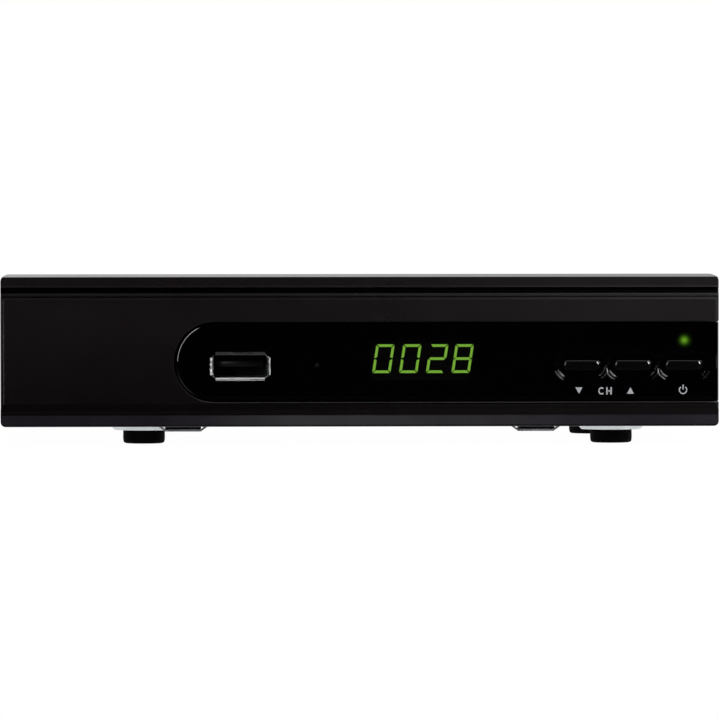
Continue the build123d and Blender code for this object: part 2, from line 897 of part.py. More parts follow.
def usb_tongue():
    """Insulator of the USB socket: a block at the back and the contact tongue."""
    mouth = usb_front + usb_length - usb_tongue_length - usb_flare_depth
    heel_front = mouth + usb_tongue_length - usb_flare
    tongue_z = usb_z + usb_tongue_lift
    tongue = panel(usb_x, tongue_z, usb_tongue_width, usb_tongue_thickness, mouth, heel_front)
    heel = facing_front(usb_outline(-usb_contact_thickness / 2), heel_front, usb_back)
    return tongue + heel


def usb_contacts():
    """Four gilt contacts under the tongue."""
    mouth = usb_front + usb_length - usb_tongue_length - usb_flare_depth
    under = usb_z + usb_tongue_lift - usb_tongue_thickness / 2
    places = [side * pitch / 2 for pitch in (usb_inner_pitch, usb_outer_pitch) for side in (-1, 1)]
    return [
        block(
            usb_x + x - usb_contact_width / 2, usb_x + x + usb_contact_width / 2,
            mouth + usb_flare, mouth + usb_contact_length,
            under - usb_contact_thickness, under,
        )
        for x in places
    ]


# Main board


def main_board():
    """Main board with a tongue that carries the USB socket."""
    board = block(-board_half, board_half, board_front, board_rear, board_bottom, board_top)
    tongue_half = usb_width / 2 + tongue_margin
    board += block(
        usb_x - tongue_half, usb_x + tongue_half, board_front - tongue_reach, board_front,
        board_bottom, board_top,
    )
    for x, y in standoffs:
        board -= lying_flat(Pos(x, y) * screw_hole(), board_bottom, board_top)
    return board


def link_places():
    """Places across of the pins that join the two boards."""
    return [
        display_x + (step - (link_pins - 1) / 2) * link_pitch for step in range(link_pins)
    ]


def board_link_strip():
    """Plastic strip of the header between the boards, on the main board."""
    margin = link_pitch / 2
    places = link_places()
    return block(
        places[0] - margin, places[-1] + margin, board_front, board_front + link_strip,
        board_top, board_top + link_strip,
    )


def board_link_pins():
    """Pins from the header strip to the back of the front board."""
    z = board_top + link_strip / 2
    return [panel(x, z, link_pin, link_pin, front_board_back, board_front) for x in link_places()]


def main_processor():
    """Processor package in the middle of the board."""
    size = processor_size / 2
    return block(-size, size, board_mid_y - size, board_mid_y + size, board_top,
                 board_top + processor_height)


def thermal_pad():
    """Soft pad between the processor and its heatsink."""
    low = board_top + processor_height
    size = pad_size / 2
    return block(-size, size, board_mid_y - size, board_mid_y + size, low, low + pad_thickness)


def processor_heatsink():
    """Finned aluminium heatsink."""
    low = board_top + processor_height + pad_thickness
    size = heatsink_size / 2
    sink = block(-size, size, board_mid_y - size, board_mid_y + size, low, low + heatsink_base)
    step = (heatsink_size - heatsink_fin) / (heatsink_fins - 1)
    for fin in range(heatsink_fins):
        x = -size + fin * step
        sink += block(x, x + heatsink_fin, board_mid_y - size, board_mid_y + size, low,
                      low + heatsink_height)
    return sink


def memory_chips():
    """Two memory packages to the right of the processor."""
    x = heatsink_size / 2 + memory_gap
    chips = []
    for side in (-1, 1):
        y = board_mid_y + side * (memory_length + memory_gap) / 2
        chips.append(block(x, x + memory_width, y - memory_length / 2, y + memory_length / 2,
                           board_top, board_top + memory_height))
    return chips


def flash_chip():
    """Flash package to the left of the processor."""
    x = -heatsink_size / 2 - memory_gap
    return block(x - flash_length, x, board_mid_y - flash_width / 2, board_mid_y + flash_width / 2,
                 board_top, board_top + flash_height)


def crystal():
    """Flat package of the clock crystal, in front of the flash package."""
    x = -heatsink_size / 2 - memory_gap - crystal_length / 2
    y = board_mid_y - flash_width - memory_gap
    outline = Pos(x, y) * Rectangle(crystal_length, crystal_width)
    return lying_flat(outline, board_top, board_top + crystal_height)


def supply_place(step, count, pitch):
    """Place across of one part in a row in front of the power socket."""
    return board_half - standoff_inset - screw_head_radius - (count - step - 0.5) * pitch


def capacitors():
    """Row of electrolytic cans in front of the power socket."""
    cans = []
    for step in range(can_count):
        x = supply_place(step, can_count, can_pitch)
        can = lying_flat(Pos(x, rear - can_offset) * Circle(can_radius), board_top,
                         board_top + can_height)
        cans.append(can)
    return cans


def power_coils():
    """Row of moulded power coils in front of the cans."""
    coils = []
    for step in range(coil_count):
        x = supply_place(step, coil_count, coil_pitch)
        outline = Pos(x, rear - coil_offset) * Rectangle(coil_size, coil_size)
        coils.append(lying_flat(outline, board_top, board_top + coil_height))
    return coils


# Rear sockets


def tuner_shield():
    """Tinned shielding can of the tuner, open towards the board."""
    x = socket_x["lnb"]
    can = block(x - tuner_width / 2, x + tuner_width / 2, board_rear - tuner_length, board_rear,
                board_top, board_top + tuner_height)
    inside = tuner_width / 2 - tuner_wall
    return can - block(
        x - inside, x + inside, board_rear - tuner_length + tuner_wall, board_rear - tuner_wall,
        board_top, board_top + tuner_height - tuner_wall,
    )


def lnb_connector():
    """Aerial connector: a plain barrel at the thread's crests, and its root inside the nut."""
    x = socket_x["lnb"]
    barrel = rod(x, lnb_z, lnb_root_radius, board_rear, rear + lnb_nut_height)
    barrel += rod(x, lnb_z, lnb_radius, rear + lnb_nut_height, rear + lnb_reach)
    return barrel - rod(x, lnb_z, lnb_bore_radius, rear, rear + lnb_reach)


def lnb_core():
    """Insulator inside the aerial connector, with the hole for the cable's wire."""
    x = socket_x["lnb"]
    core = rod(x, lnb_z, lnb_bore_radius, rear, rear + lnb_reach - lnb_core_sink)
    return core - rod(x, lnb_z, lnb_core_hole_radius, rear + lnb_core_sink, rear + lnb_reach)


def lnb_nut():
    """Hexagon nut that holds the aerial connector in the rear wall."""
    outline = RegularPolygon(lnb_nut_width / 2, 6, major_radius=False) - Circle(lnb_root_radius)
    return facing_front(Pos(socket_x["lnb"], lnb_z) * outline, rear, rear + lnb_nut_height)


def hdmi_outline(grow):
    """Outline of the picture socket's opening: two lower corners are cut off."""
    half_width = hdmi_width / 2 + grow
    low = -hdmi_height / 2 - grow
    high = hdmi_height / 2 + grow
    points = [
        (-half_width, high), (half_width, high), (half_width, low + hdmi_bevel),
        (half_width - hdmi_bevel, low), (-half_width + hdmi_bevel, low),
        (-half_width, low + hdmi_bevel),
    ]
    return Pos(socket_x["hdmi"], hdmi_z) * make_face(Polyline(*points, close=True))


def hdmi_shell():
    """Folded shell of the picture socket."""
    outline = hdmi_outline(hdmi_wall) - hdmi_outline(0)
    return facing_front(outline, rear - hdmi_length, rear)


def hdmi_tongue():
    """Insulator of the picture socket: a block at the back and the contact tongue."""
    heel_back = rear - hdmi_tongue_length - sheet
    heel = facing_front(hdmi_outline(-sheet_gap / 2), rear - hdmi_length, heel_back)
    tongue = panel(socket_x["hdmi"], hdmi_z, hdmi_tongue_width, hdmi_tongue_thickness, heel_back,
                   rear - sheet)
    return heel + tongue


def scart_outline(grow):
    """Skewed outline of the wide socket's core."""
    half_width = scart_core_width / 2 + grow
    half_height = scart_core_height / 2 + grow
    points = [
        (-half_width, -half_height), (half_width - scart_core_skew, -half_height),
        (half_width, half_height), (-half_width, half_height),
    ]
    return Pos(socket_x["scart"], scart_z) * make_face(Polyline(*points, close=True))


def scart_places():
    """Middles of the wide socket's contact slots, in two staggered rows."""
    places = []
    for row in (-1, 1):
        for step in range(scart_pins_per_row):
            x = (step - (scart_pins_per_row - 1) / 2) * scart_pin_pitch - scart_core_skew / 2
            stagger = row * scart_pin_pitch / 4
            places.append((socket_x["scart"] + x + stagger, scart_z + row * scart_row_spacing / 2))
    return places


def scart_socket():
    """Moulded body of the wide socket: a groove for the plug's shell round a slotted core."""
    body = panel(socket_x["scart"], scart_z, scart_width, scart_height, rear - scart_length, rear)
    groove = scart_outline(scart_groove) - scart_outline(0)
    body -= facing_front(groove, rear - scart_groove_depth, rear)
    return body - [
        panel(x, z, scart_slot_width, scart_slot_height, rear - scart_slot_depth, rear)
        for x, z in scart_places()
    ]


def scart_contacts():
    """Contact leaves at the bottom of the wide socket's slots."""
    return [
        panel(x, z, scart_slot_width - scart_leaf_gap, scart_slot_height - scart_leaf_gap,
              rear - scart_slot_depth, rear - scart_slot_depth / 2)
        for x, z in scart_places()
    ]


def coax_audio_jack():
    """Moulded housing of the round sound socket."""
    x = socket_x["coax"]
    return block(x - coax_width / 2, x + coax_width / 2, wall_inside - sheet_gap - coax_length,
                 wall_inside - sheet_gap, board_top, board_top + coax_height)


def coax_audio_sleeve():
    """Plated outer contact of the sound socket."""
    x = socket_x["coax"]
    sleeve = rod(x, coax_z, coax_radius, wall_inside - sheet_gap, rear + coax_reach)
    return sleeve - rod(x, coax_z, coax_radius - coax_wall, wall_inside - sheet_gap,
                        rear + coax_reach)


def coax_audio_core():
    """Insulator inside the sound socket, with the hole for the plug's pin."""
    x = socket_x["coax"]
    core = rod(x, coax_z, coax_radius - coax_wall, wall_inside - sheet_gap,
               rear + coax_reach - coax_core_sink)
    return core - rod(x, coax_z, coax_core_hole_radius, rear, rear + coax_reach)


def dc_leaf_room():
    """Channel beside the power socket's bore that holds its spring leaf."""
    x = socket_x["dc"]
    low = dc_z - dc_bore_radius - dc_leaf_thickness
    return block(x - dc_leaf_width / 2, x + dc_leaf_width / 2, rear - dc_bore_depth, rear, low,
                 dc_z - dc_bore_radius / 2)


def dc_power_jack():
    """Moulded housing of the power socket."""
    x = socket_x["dc"]
    body = block(x - dc_width / 2, x + dc_width / 2, rear - dc_length, rear, board_top,
                 board_top + dc_height)
    body -= rod(x, dc_z, dc_bore_radius, rear - dc_bore_depth, rear)
    return body - dc_leaf_room()


def dc_jack_pin():
    """Centre pin of the power socket, with a flat tip."""
    return rod(socket_x["dc"], dc_z, dc_pin_radius, rear - dc_bore_depth, rear - dc_pin_sink)


def dc_jack_leaf():
    """Spring leaf on the floor of the power socket's channel."""
    x = socket_x["dc"]
    low = dc_z - dc_bore_radius - dc_leaf_thickness
    return block(x - dc_leaf_width / 2, x + dc_leaf_width / 2, rear - dc_bore_depth,
                 rear - dc_bore_depth + dc_leaf_length, low, low + dc_leaf_thickness)


# All pieces by node name

pieces = {
    "top_cover": top_cover(),
    "bottom_chassis": bottom_chassis(),
    "cover_screws": cover_screws(),
    "front_bezel": front_bezel(),
    "display_window": display_window(),
    "button_switches": button_switches(),
    "display_module": display_module(),
    "display_digits": display_segments(True),
    "dark_segments": display_segments(False),
    "standby_led": standby_led(),
    "led_spacer": led_spacer(),
    "infrared_receiver": infrared_receiver(),
    "front_board": front_board(),
    "board_link_strip": board_link_strip(),
    "board_link_pins": board_link_pins(),
    "usb_shell": usb_shell(),
    "usb_tongue": usb_tongue(),
    "usb_contacts": usb_contacts(),
    "main_board": main_board(),
    "board_screws": board_screws(),
    "board_standoffs": board_standoffs(),
    "main_processor": main_processor(),
    "thermal_pad": thermal_pad(),
    "processor_heatsink": processor_heatsink(),
    "memory_chips": memory_chips(),
    "flash_chip": flash_chip(),
    "crystal": crystal(),
    "capacitors": capacitors(),
    "power_coils": power_coils(),
    "tuner_shield": tuner_shield(),
    "lnb_connector": lnb_connector(),
    "lnb_core": lnb_core(),
    "lnb_nut": lnb_nut(),
    "hdmi_shell": hdmi_shell(),
    "hdmi_tongue": hdmi_tongue(),
    "scart_socket": scart_socket(),
    "scart_contacts": scart_contacts(),
    "coax_audio_jack": coax_audio_jack(),
    "coax_audio_sleeve": coax_audio_sleeve(),
    "coax_audio_core": coax_audio_core(),
    "dc_power_jack": dc_power_jack(),
    "dc_jack_pin": dc_jack_pin(),
    "dc_jack_leaf": dc_jack_leaf(),
}
for key_name, key_x in zip(("channel_down", "channel_up", "power"), key_centres):
    pieces[key_name + "_button"] = key_cap(key_x)
    pieces[key_name + "_plunger"] = key_plunger(key_x)
for foot_name, (foot_x, foot_y) in feet.items():
    pieces[foot_name] = foot(foot_x, foot_y)

os.makedirs("parts", exist_ok=True)
for node, shape in pieces.items():
    if isinstance(shape, list):
        shape = Compound(children=shape)
    export_step(shape, "parts/" + node + ".step")
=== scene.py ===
"""Looks of a small satellite receiver.

Gives every piece its material and stands finer meshes in for the digits, window, USB socket, keys,
feet, cover screws and aerial connector. Prints the marks below the keys. Pieces are in millimetres,
scaled once where a mesh is made. Floor, world and lamps are in metres.
"""

import json
import math

import bmesh
import bpy
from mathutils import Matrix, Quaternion, Vector
from mathutils.geometry import delaunay_2d_cdt


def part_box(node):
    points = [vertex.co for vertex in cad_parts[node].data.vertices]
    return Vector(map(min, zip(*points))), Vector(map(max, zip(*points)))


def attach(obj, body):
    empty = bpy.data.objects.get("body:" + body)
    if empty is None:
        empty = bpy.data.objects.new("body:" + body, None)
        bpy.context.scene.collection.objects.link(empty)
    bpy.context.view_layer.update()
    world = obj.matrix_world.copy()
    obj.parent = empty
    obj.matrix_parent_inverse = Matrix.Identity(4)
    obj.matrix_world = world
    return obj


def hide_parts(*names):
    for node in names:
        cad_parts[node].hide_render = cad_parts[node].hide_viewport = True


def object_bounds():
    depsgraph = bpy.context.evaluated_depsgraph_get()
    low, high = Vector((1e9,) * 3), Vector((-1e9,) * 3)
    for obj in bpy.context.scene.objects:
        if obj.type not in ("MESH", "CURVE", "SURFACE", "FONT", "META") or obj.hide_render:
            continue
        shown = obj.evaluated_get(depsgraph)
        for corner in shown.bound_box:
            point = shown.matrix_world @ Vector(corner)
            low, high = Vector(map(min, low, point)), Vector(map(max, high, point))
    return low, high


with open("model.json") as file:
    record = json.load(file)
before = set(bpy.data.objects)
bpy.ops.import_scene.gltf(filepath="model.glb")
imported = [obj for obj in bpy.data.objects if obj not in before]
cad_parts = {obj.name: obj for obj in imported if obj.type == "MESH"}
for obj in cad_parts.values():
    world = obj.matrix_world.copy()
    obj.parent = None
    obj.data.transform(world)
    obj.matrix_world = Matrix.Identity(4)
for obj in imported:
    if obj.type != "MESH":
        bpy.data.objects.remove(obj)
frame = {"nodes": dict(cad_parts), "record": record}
nodes = frame["nodes"]
cad_low, cad_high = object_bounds()
scene = bpy.context.scene
MM = 0.001
front_y = cad_low.y / MM


def box_mm(node):
    """Lowest and highest corner of a CAD node, in millimetres."""
    low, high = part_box(node)
    return low / MM, high / MM


def centre_mm(node):
    """Middle of a CAD node's box, in millimetres."""
    return [(a + b) / 2 for a, b in zip(*box_mm(node))]


# ---------------------------------------------------------------- materials

EVEN = (1, 1, 1)
ALONG_X = (8, 1, 1)
ALONG_Y = (1, 8, 1)
NOISE_DETAIL = 3.0
LEAST_ROUGHNESS = 0.02


class Graph:
    """Node tree that is built call by call."""

    def __init__(self, owner):
        owner.use_nodes = True
        self.tree = owner.node_tree
        self.tree.nodes.clear()

    def feed(self, socket, value):
        """Gives an input a number, a list or a colour (a tuple), or links a socket to it."""
        if isinstance(value, bpy.types.NodeSocket):
            self.tree.links.new(value, socket)
        else:
            socket.default_value = (*value, 1) if isinstance(value, tuple) else value

    def add(self, kind, inputs=(), **settings):
        """Node with its settings, and its inputs fed by name or by number."""
        node = self.tree.nodes.new(kind)
        for key, value in settings.items():
            setattr(node, key, value)
        for key, value in dict(inputs).items():
            self.feed(node.inputs[key], value)
        return node

    def math(self, operation, *values):
        """Math node over numbers and sockets."""
        return self.add("ShaderNodeMath", enumerate(values), operation=operation).outputs[0]

    def times(self, first, *others):
        """Product of numbers and sockets."""
        for other in others:
            first = self.math("MULTIPLY", first, other)
        return first

    def most(self, first, *others):
        """Largest of numbers and sockets."""
        for other in others:
            first = self.math("MAXIMUM", first, other)
        return first

    def spread(self, value, low, high, start=0.3, end=0.7, kind="LINEAR"):
        """Value from start to end mapped to low to high."""
        inputs = {"Value": value, "From Min": start, "From Max": end, "To Min": low, "To Max": high}
        return self.add("ShaderNodeMapRange", inputs, interpolation_type=kind).outputs[0]

    def ease(self, value, low, high, start, end):
        """Spread with soft ends."""
        return self.spread(value, low, high, start, end, "SMOOTHSTEP")


class Surface(Graph):
    """A Principled material with procedural grain, mottling and uneven gloss."""

    def __init__(self, name, colour, roughness, metallic=0.0, specular=0.5):
        self.mat = bpy.data.materials.new(name)
        super().__init__(self.mat)
        self.colour, self.roughness, self.normal = colour, roughness, None
        self.shader = self.add("ShaderNodeBsdfPrincipled", {
            "Base Color": colour, "Roughness": roughness, "Metallic": metallic,
            "Specular IOR Level": specular})
        self.add("ShaderNodeOutputMaterial", {0: self.shader.outputs[0]})
        self.place = self.add("ShaderNodeTexCoord").outputs["Object"]

    def set(self, name, value):
        """Gives one of the shader's inputs a value or a socket."""
        self.feed(self.shader.inputs[name], value)
        return self

    def noise(self, size, stretch=EVEN):
        """Noise of a cell size in millimetres, from 0 to 1, stretched along the axes."""
        scale = self.add("ShaderNodeMapping", {"Vector": self.place,
                                               "Scale": [1 / s for s in stretch]})
        return self.add("ShaderNodeTexNoise", {
            "Vector": scale.outputs[0], "Scale": 1 / (size * MM), "Detail": NOISE_DETAIL,
        }).outputs["Fac"]

    def blend(self, factor, first, second):
        """Colour between two colours or sockets."""
        node = self.add("ShaderNodeMix", {"Factor": factor}, data_type="RGBA")
        for name, value in (("A", first), ("B", second)):
            self.feed([s for s in node.inputs if s.name == name and s.type == "RGBA"][0], value)
        return [s for s in node.outputs if s.type == "RGBA"][0]

    def mottle(self, size, amount, stretch=EVEN):
        """Colour that varies softly by a share of itself."""
        dark = tuple(c * (1 - amount) for c in self.colour)
        light = tuple(min(1.0, c * (1 + amount)) for c in self.colour)
        factor = self.spread(self.noise(size, stretch), 0, 1)
        return self.set("Base Color", self.blend(factor, dark, light))

    def gloss(self, size, amount, stretch=EVEN):
        """Roughness that varies by an amount each way."""
        low, high = max(LEAST_ROUGHNESS, self.roughness - amount), self.roughness + amount
        return self.set("Roughness", self.spread(self.noise(size, stretch), low, high))

    def grain(self, size, depth, stretch=EVEN):
        """Bump of a depth in millimetres, laid over any bump before it."""
        inputs = {"Distance": depth * MM, "Strength": 1.0, "Height": self.noise(size, stretch)}
        if self.normal is not None:
            inputs["Normal"] = self.normal
        self.normal = self.add("ShaderNodeBump", inputs).outputs[0]
        return self.set("Normal", self.normal)

    def axis(self, letter):
        """One coordinate of the surface, in millimetres."""
        split = self.add("ShaderNodeSeparateXYZ", {0: self.place})
        return self.math("MULTIPLY", split.outputs[letter], 1 / MM)

    def off(self, letter, middle):
        """Signed distance along an axis from a place on it."""
        return self.math("SUBTRACT", self.axis(letter), middle)

    def reach_squared(self, x, z):
        """Square of the distance from a place of the front view."""
        dx, dz = self.off("X", x), self.off("Z", z)
        return self.math("ADD", self.times(dx, dx), self.times(dz, dz))

    def disc(self, x, z, radius, soft):
        """1 inside a disc of the front view, falling to 0 over a soft edge."""
        reach = self.math("SQRT", self.reach_squared(x, z))
        return self.spread(reach, 1, 0, radius - soft / 2, radius + soft / 2)

    def glow(self, x, z, spread, peak):
        """Bell-shaped light about a place of the front view."""
        base = math.exp(-1 / (2 * spread * spread))
        return self.times(self.math("POWER", base, self.reach_squared(x, z)), peak)

    def between(self, letter, low, high, soft=0.06):
        """1 where a coordinate lies between two values, with soft ends."""
        value = self.axis(letter)
        return self.times(self.spread(value, 0, 1, low - soft, low + soft),
                          self.spread(value, 1, 0, high - soft, high + soft))

    def oblong(self, x, z, width, height):
        """1 inside a box of the front view."""
        return self.times(*(
            self.math("LESS_THAN", self.math("ABSOLUTE", self.off(letter, middle)), size / 2)
            for letter, middle, size in (("X", x, width), ("Z", z, height))))


def moulded(name, colour, roughness, specular=0.5, grain=0.25, depth=0.004):
    """Plain moulded plastic."""
    made = Surface(name, colour, roughness, specular=specular)
    return made.mottle(9, 0.12).gloss(3, 0.05).grain(grain, depth)


def plated(name, colour, roughness, stretch=EVEN):
    """Plated or machined metal with fine lines along the stretch."""
    made = Surface(name, colour, roughness, metallic=1.0)
    return made.mottle(4, 0.08, stretch).gloss(0.6, 0.06, stretch).grain(0.3, 0.0015, stretch)


def galvanised(name):
    """Zinc-coated sheet: faint spangle cells, satin."""
    made = Surface(name, (0.66, 0.68, 0.70), 0.34, metallic=0.82)
    spangle = made.add("ShaderNodeTexVoronoi", {"Vector": made.place, "Scale": 1 / (3.2 * MM)})
    grey = made.add("ShaderNodeSeparateColor", {0: spangle.outputs["Color"]})
    made.set("Base Color", made.blend(grey.outputs[0], (0.60, 0.62, 0.64), (0.74, 0.76, 0.78)))
    made.set("Roughness", made.spread(grey.outputs[1], 0.26, 0.42, 0, 1))
    return made.grain(0.5, 0.002)


def circuit(name):
    """Green solder mask with tracks that show through it."""
    made = Surface(name, (0.006, 0.045, 0.018), 0.4)
    tracks = made.add("ShaderNodeTexBrick", {
        "Vector": made.place, "Scale": 1 / (6 * MM), "Mortar Size": 0.05,
        "Color1": (0.005, 0.036, 0.015), "Color2": (0.006, 0.045, 0.018),
        "Mortar": (0.012, 0.08, 0.032)})
    return made.set("Base Color", tracks.outputs["Color"]).gloss(2, 0.06).grain(0.6, 0.003)


# Bezel: heights of the parts of its profile, softness of their ends, and the runs along and up it
# over which its look changes. Paint and gloss are fitted to the photograph, with its lighting
groove_z, groove_y = (35.4, 36.95), (front_y + 0.3, front_y + 3.0)
bead_z, ledge_z, nick_z = (34.85, 35.6), (36.8, 37.3), (34.5, 34.8)
rim_z, brow_z, chin_z = (9.55, 10.5), (7.05, 9.8), (1.0, 7.1)
ledge_soft, rim_soft, brow_soft = 0.1, 0.15, 0.7
rim_x, rim_x_soft = (-33, 90), 6
bead_run, brow_right_run, brow_left_run = (-35, 80), (35, 84), (-38, -5)
left_run, low_run = (-38, 5), (9, 27)
scuff_start_run, scuff_end_run, gloss_run = (-48, -14), (-12, 66), (-40, 50)

bezel = Surface("bezel_plastic", (0.0029, 0.0019, 0.0022), 0.29, specular=0.36)
bezel.mottle(7, 0.10, (3, 1, 1)).grain(0.30, 0.006, (2, 1, 1)).grain(0.12, 0.002)
across, upward = bezel.axis("X"), bezel.axis("Z")
groove = bezel.times(bezel.between("Z", *groove_z), bezel.between("Y", *groove_y))
# Painted highlight: the bead above the face and the ledge at the top strip's lower edge are painted
# lighter, more so to the right
painted_highlight = bezel.most(bezel.between("Z", *bead_z), bezel.between("Z", *ledge_z, ledge_soft))
painted_highlight = bezel.times(painted_highlight, bezel.spread(across, 0.25, 0.95, *bead_run))
nick = bezel.between("Z", *nick_z)
rim = bezel.times(bezel.between("Z", *rim_z, rim_soft), bezel.between("X", *rim_x, rim_x_soft))
# Painted shade: the groove under the top strip, the nick below the bead and the lower rim of the
# window's recess are painted near black
painted_shade = bezel.most(groove, nick, rim)
# Painted shade: the brow under the window is painted darker, most at the left end and less towards
# the right
painted_brow_shade = bezel.times(bezel.between("Z", *brow_z, brow_soft),
                   bezel.spread(across, 1.0, 0.45, *brow_right_run),
                   bezel.spread(across, 1.0, 0.5, *brow_left_run))
# Painted sheen: the chin is painted a lighter, bluish tone
chin = bezel.between("Z", *chin_z)
face = bezel.math("SUBTRACT", 1.0, chin)
# Painted shade: the face's lower left is painted darker, and its gloss changes there too
low_left = bezel.times(bezel.spread(across, 1.0, 0.0, *left_run),
                       bezel.spread(upward, 1.0, 0.0, *low_run))
tone = bezel.shader.inputs["Base Color"].links[0].from_socket
# Painted shade, painted highlights and the chin's painted bluish sheen, blended over the mottled
# colour
for mask, colour in (
    (bezel.times(low_left, 0.8), (0.0012, 0.0007, 0.0009)),
    (painted_brow_shade, (0.0016, 0.0009, 0.0011)),
    (painted_highlight, (0.0090, 0.0076, 0.0081)),
    (chin, (0.0030, 0.0021, 0.0040)),
    (painted_shade, (0.0003, 0.0002, 0.0003)),
):
    tone = bezel.blend(mask, tone, colour)
bezel.set("Base Color", tone)

# Its roughness: the chin's middle is scuffed, the face is glossier to the left
scuffed = bezel.times(bezel.spread(across, 0, 1, *scuff_start_run),
                      bezel.spread(across, 1, 0, *scuff_end_run))
chin_change = bezel.spread(scuffed, -0.05, 0.12, 0, 1)
face_change = bezel.math("ADD", bezel.spread(across, -0.055, 0.025, *gloss_run),
                         bezel.times(low_left, -0.025))
change = bezel.math("ADD", bezel.times(chin, chin_change), bezel.times(face, face_change))
change = bezel.math("ADD", change, bezel.times(painted_shade, -0.09))
bezel.set("Roughness", bezel.math("ADD", bezel.spread(bezel.noise(6), 0.278, 0.302), change))

# Where the pieces behind the window lie, and the middle of the lamp's glow
display_x, _, display_z = centre_mm("display_module")
lamp_x, _, lamp_z = centre_mm("standby_led")
eye_x, _, eye_z = centre_mm("infrared_receiver")
glow_x, glow_z = lamp_x + 0.27, lamp_z - 0.06

lit = Surface("lit_segment", (0.10, 0.20, 0.04), 0.4).mottle(1.5, 0.1)
lit.set("Emission Color", (0.44, 1.0, 0.09)).set("Emission Strength", 1.12)
lamp = Surface("green_lamp", (0.002, 0.006, 0.001), 0.5, specular=0.05).mottle(1.2, 0.1)
lamp.set("Emission Color", (0.38, 1.0, 0.05))
lamp.set("Emission Strength", lamp.glow(glow_x, glow_z, 0.5, 0.38))
eye = Surface("eye_plastic", (0.010, 0.006, 0.007), 0.3, specular=0.3)
# Painted glint: a pale disc at the middle of the eye
painted_glint = eye.disc(eye_x, eye_z, 0.45, 0.5)
eye.set("Base Color", eye.blend(painted_glint, (0.008, 0.005, 0.006), (0.42, 0.34, 0.34)))
eye.gloss(1, 0.05).grain(0.4, 0.002)
cover = Surface("painted_steel", (0.020, 0.020, 0.021), 0.52)
cover.mottle(14, 0.10).gloss(4, 0.04).grain(0.55, 0.012).grain(0.16, 0.003)
rubber = Surface("black_rubber", (0.0005, 0.0005, 0.0005), 0.75, specular=0.04)
rubber.mottle(3, 0.25).gloss(2, 0.08).grain(0.2, 0.006)

# Colour, roughness, specular, grain's cell size and grain's depth
MOULDED = {
    "switch_body": ((0.03, 0.03, 0.03), 0.5),
    "plunger_plastic": ((0.62, 0.58, 0.50), 0.45),
    "display_case": ((0.0012, 0.0012, 0.0012), 0.6, 0.2),
    "dark_segment": ((0.003, 0.0034, 0.003), 0.5, 0.2),
    "header_plastic": ((0.012, 0.012, 0.012), 0.5),
    "usb_insulator": ((0.0016, 0.0015, 0.0014), 0.3, 0.4),
    "chip_package": ((0.025, 0.025, 0.027), 0.55, 0.5, 0.12, 0.003),
    "silicone_pad": ((0.42, 0.48, 0.52), 0.7),
    "coil_ferrite": ((0.08, 0.08, 0.08), 0.6, 0.5, 0.15, 0.006),
    "white_insulator": ((0.78, 0.77, 0.73), 0.4),
    "scart_plastic": ((0.016, 0.016, 0.017), 0.42),
    "coax_plastic": ((0.014, 0.014, 0.014), 0.42),
    "coax_insert": ((0.72, 0.20, 0.03), 0.38),
    "dc_plastic": ((0.013, 0.013, 0.014), 0.42),
    "capacitor_sleeve": ((0.03, 0.04, 0.10), 0.3),
}
# Colour, roughness and the stretch of the fine lines
PLATED = {
    "crystal_can": ((0.70, 0.70, 0.67), 0.28, ALONG_X),
    "screw_steel": ((0.09, 0.09, 0.095), 0.35),
    "bright_screw": ((0.66, 0.66, 0.64), 0.3),
    "usb_steel": ((0.74, 0.74, 0.74), 0.29, ALONG_X),
    "nickel_barrel": ((0.70, 0.68, 0.64), 0.24),
    "gilt_contact": ((0.30, 0.21, 0.09), 0.3, ALONG_Y),
    "tinned_shield": ((0.68, 0.69, 0.68), 0.3),
    "heatsink_aluminium": ((0.09, 0.09, 0.10), 0.4, ALONG_Y),
}
finishes = {name: moulded(name, *values) for name, values in MOULDED.items()}
finishes |= {name: plated(name, *values) for name, values in PLATED.items()}
finishes |= {
    "bezel_plastic": bezel,
    "painted_steel": cover,
    "galvanised_steel": galvanised("galvanised_steel"),
    "board": circuit("board"),
    "black_rubber": rubber,
    "lit_segment": lit,
    "green_lamp": lamp,
    "eye_plastic": eye,
}
for row in frame["record"]["subparts"]:
    finish = finishes.get(row["material_slot"])
    if finish is not None:
        node = nodes[row["node"]]
        node.data.materials.clear()
        node.data.materials.append(finish.mat)


# ---------------------------------------------------------------- meshes


def solid_mesh(name, points, faces):
    """Mesh from points in millimetres, its faces turned outwards."""
    mesh = bpy.data.meshes.new(name)
    mesh.from_pydata([Vector(p) * MM for p in points], [], faces)
    made = bmesh.new()
    made.from_mesh(mesh)
    bmesh.ops.recalc_face_normals(made, faces=made.faces)
    made.to_mesh(mesh)
    made.free()
    return mesh


def smooth(mesh, angle):
    """Shades a mesh smooth, with sharp edges above an angle in degrees."""
    mesh.polygons.foreach_set("use_smooth", [True] * len(mesh.polygons))
    mesh.set_sharp_from_angle(angle=math.radians(angle))


def piece(name, points, faces, body, coats, stands_for=(), angle=32, indices=None):
    """Mesh object from points in millimetres, riding on a body."""
    mesh = solid_mesh(name, points, faces)
    for coat in coats:
        mesh.materials.append(coat.mat)
    if indices:
        mesh.polygons.foreach_set("material_index", indices)
    smooth(mesh, angle)
    obj = bpy.data.objects.new(name, mesh)
    scene.collection.objects.link(obj)
    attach(obj, body)
    if stands_for:
        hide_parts(*stands_for)
    return obj


def skin(rings):
    """Points and faces over rings of equal length, the first and the last closed."""
    count = len(rings[0])
    points = [point for ring in rings for point in ring]
    faces = []
    for row in range(len(rings) - 1):
        for step in range(count):
            after = (step + 1) % count
            a, b = row * count, (row + 1) * count
            faces.append((a + step, a + after, b + after, b + step))
    faces.append(tuple(reversed(range(count))))
    faces.append(tuple(range((len(rings) - 1) * count, len(rings) * count)))
    return points, faces


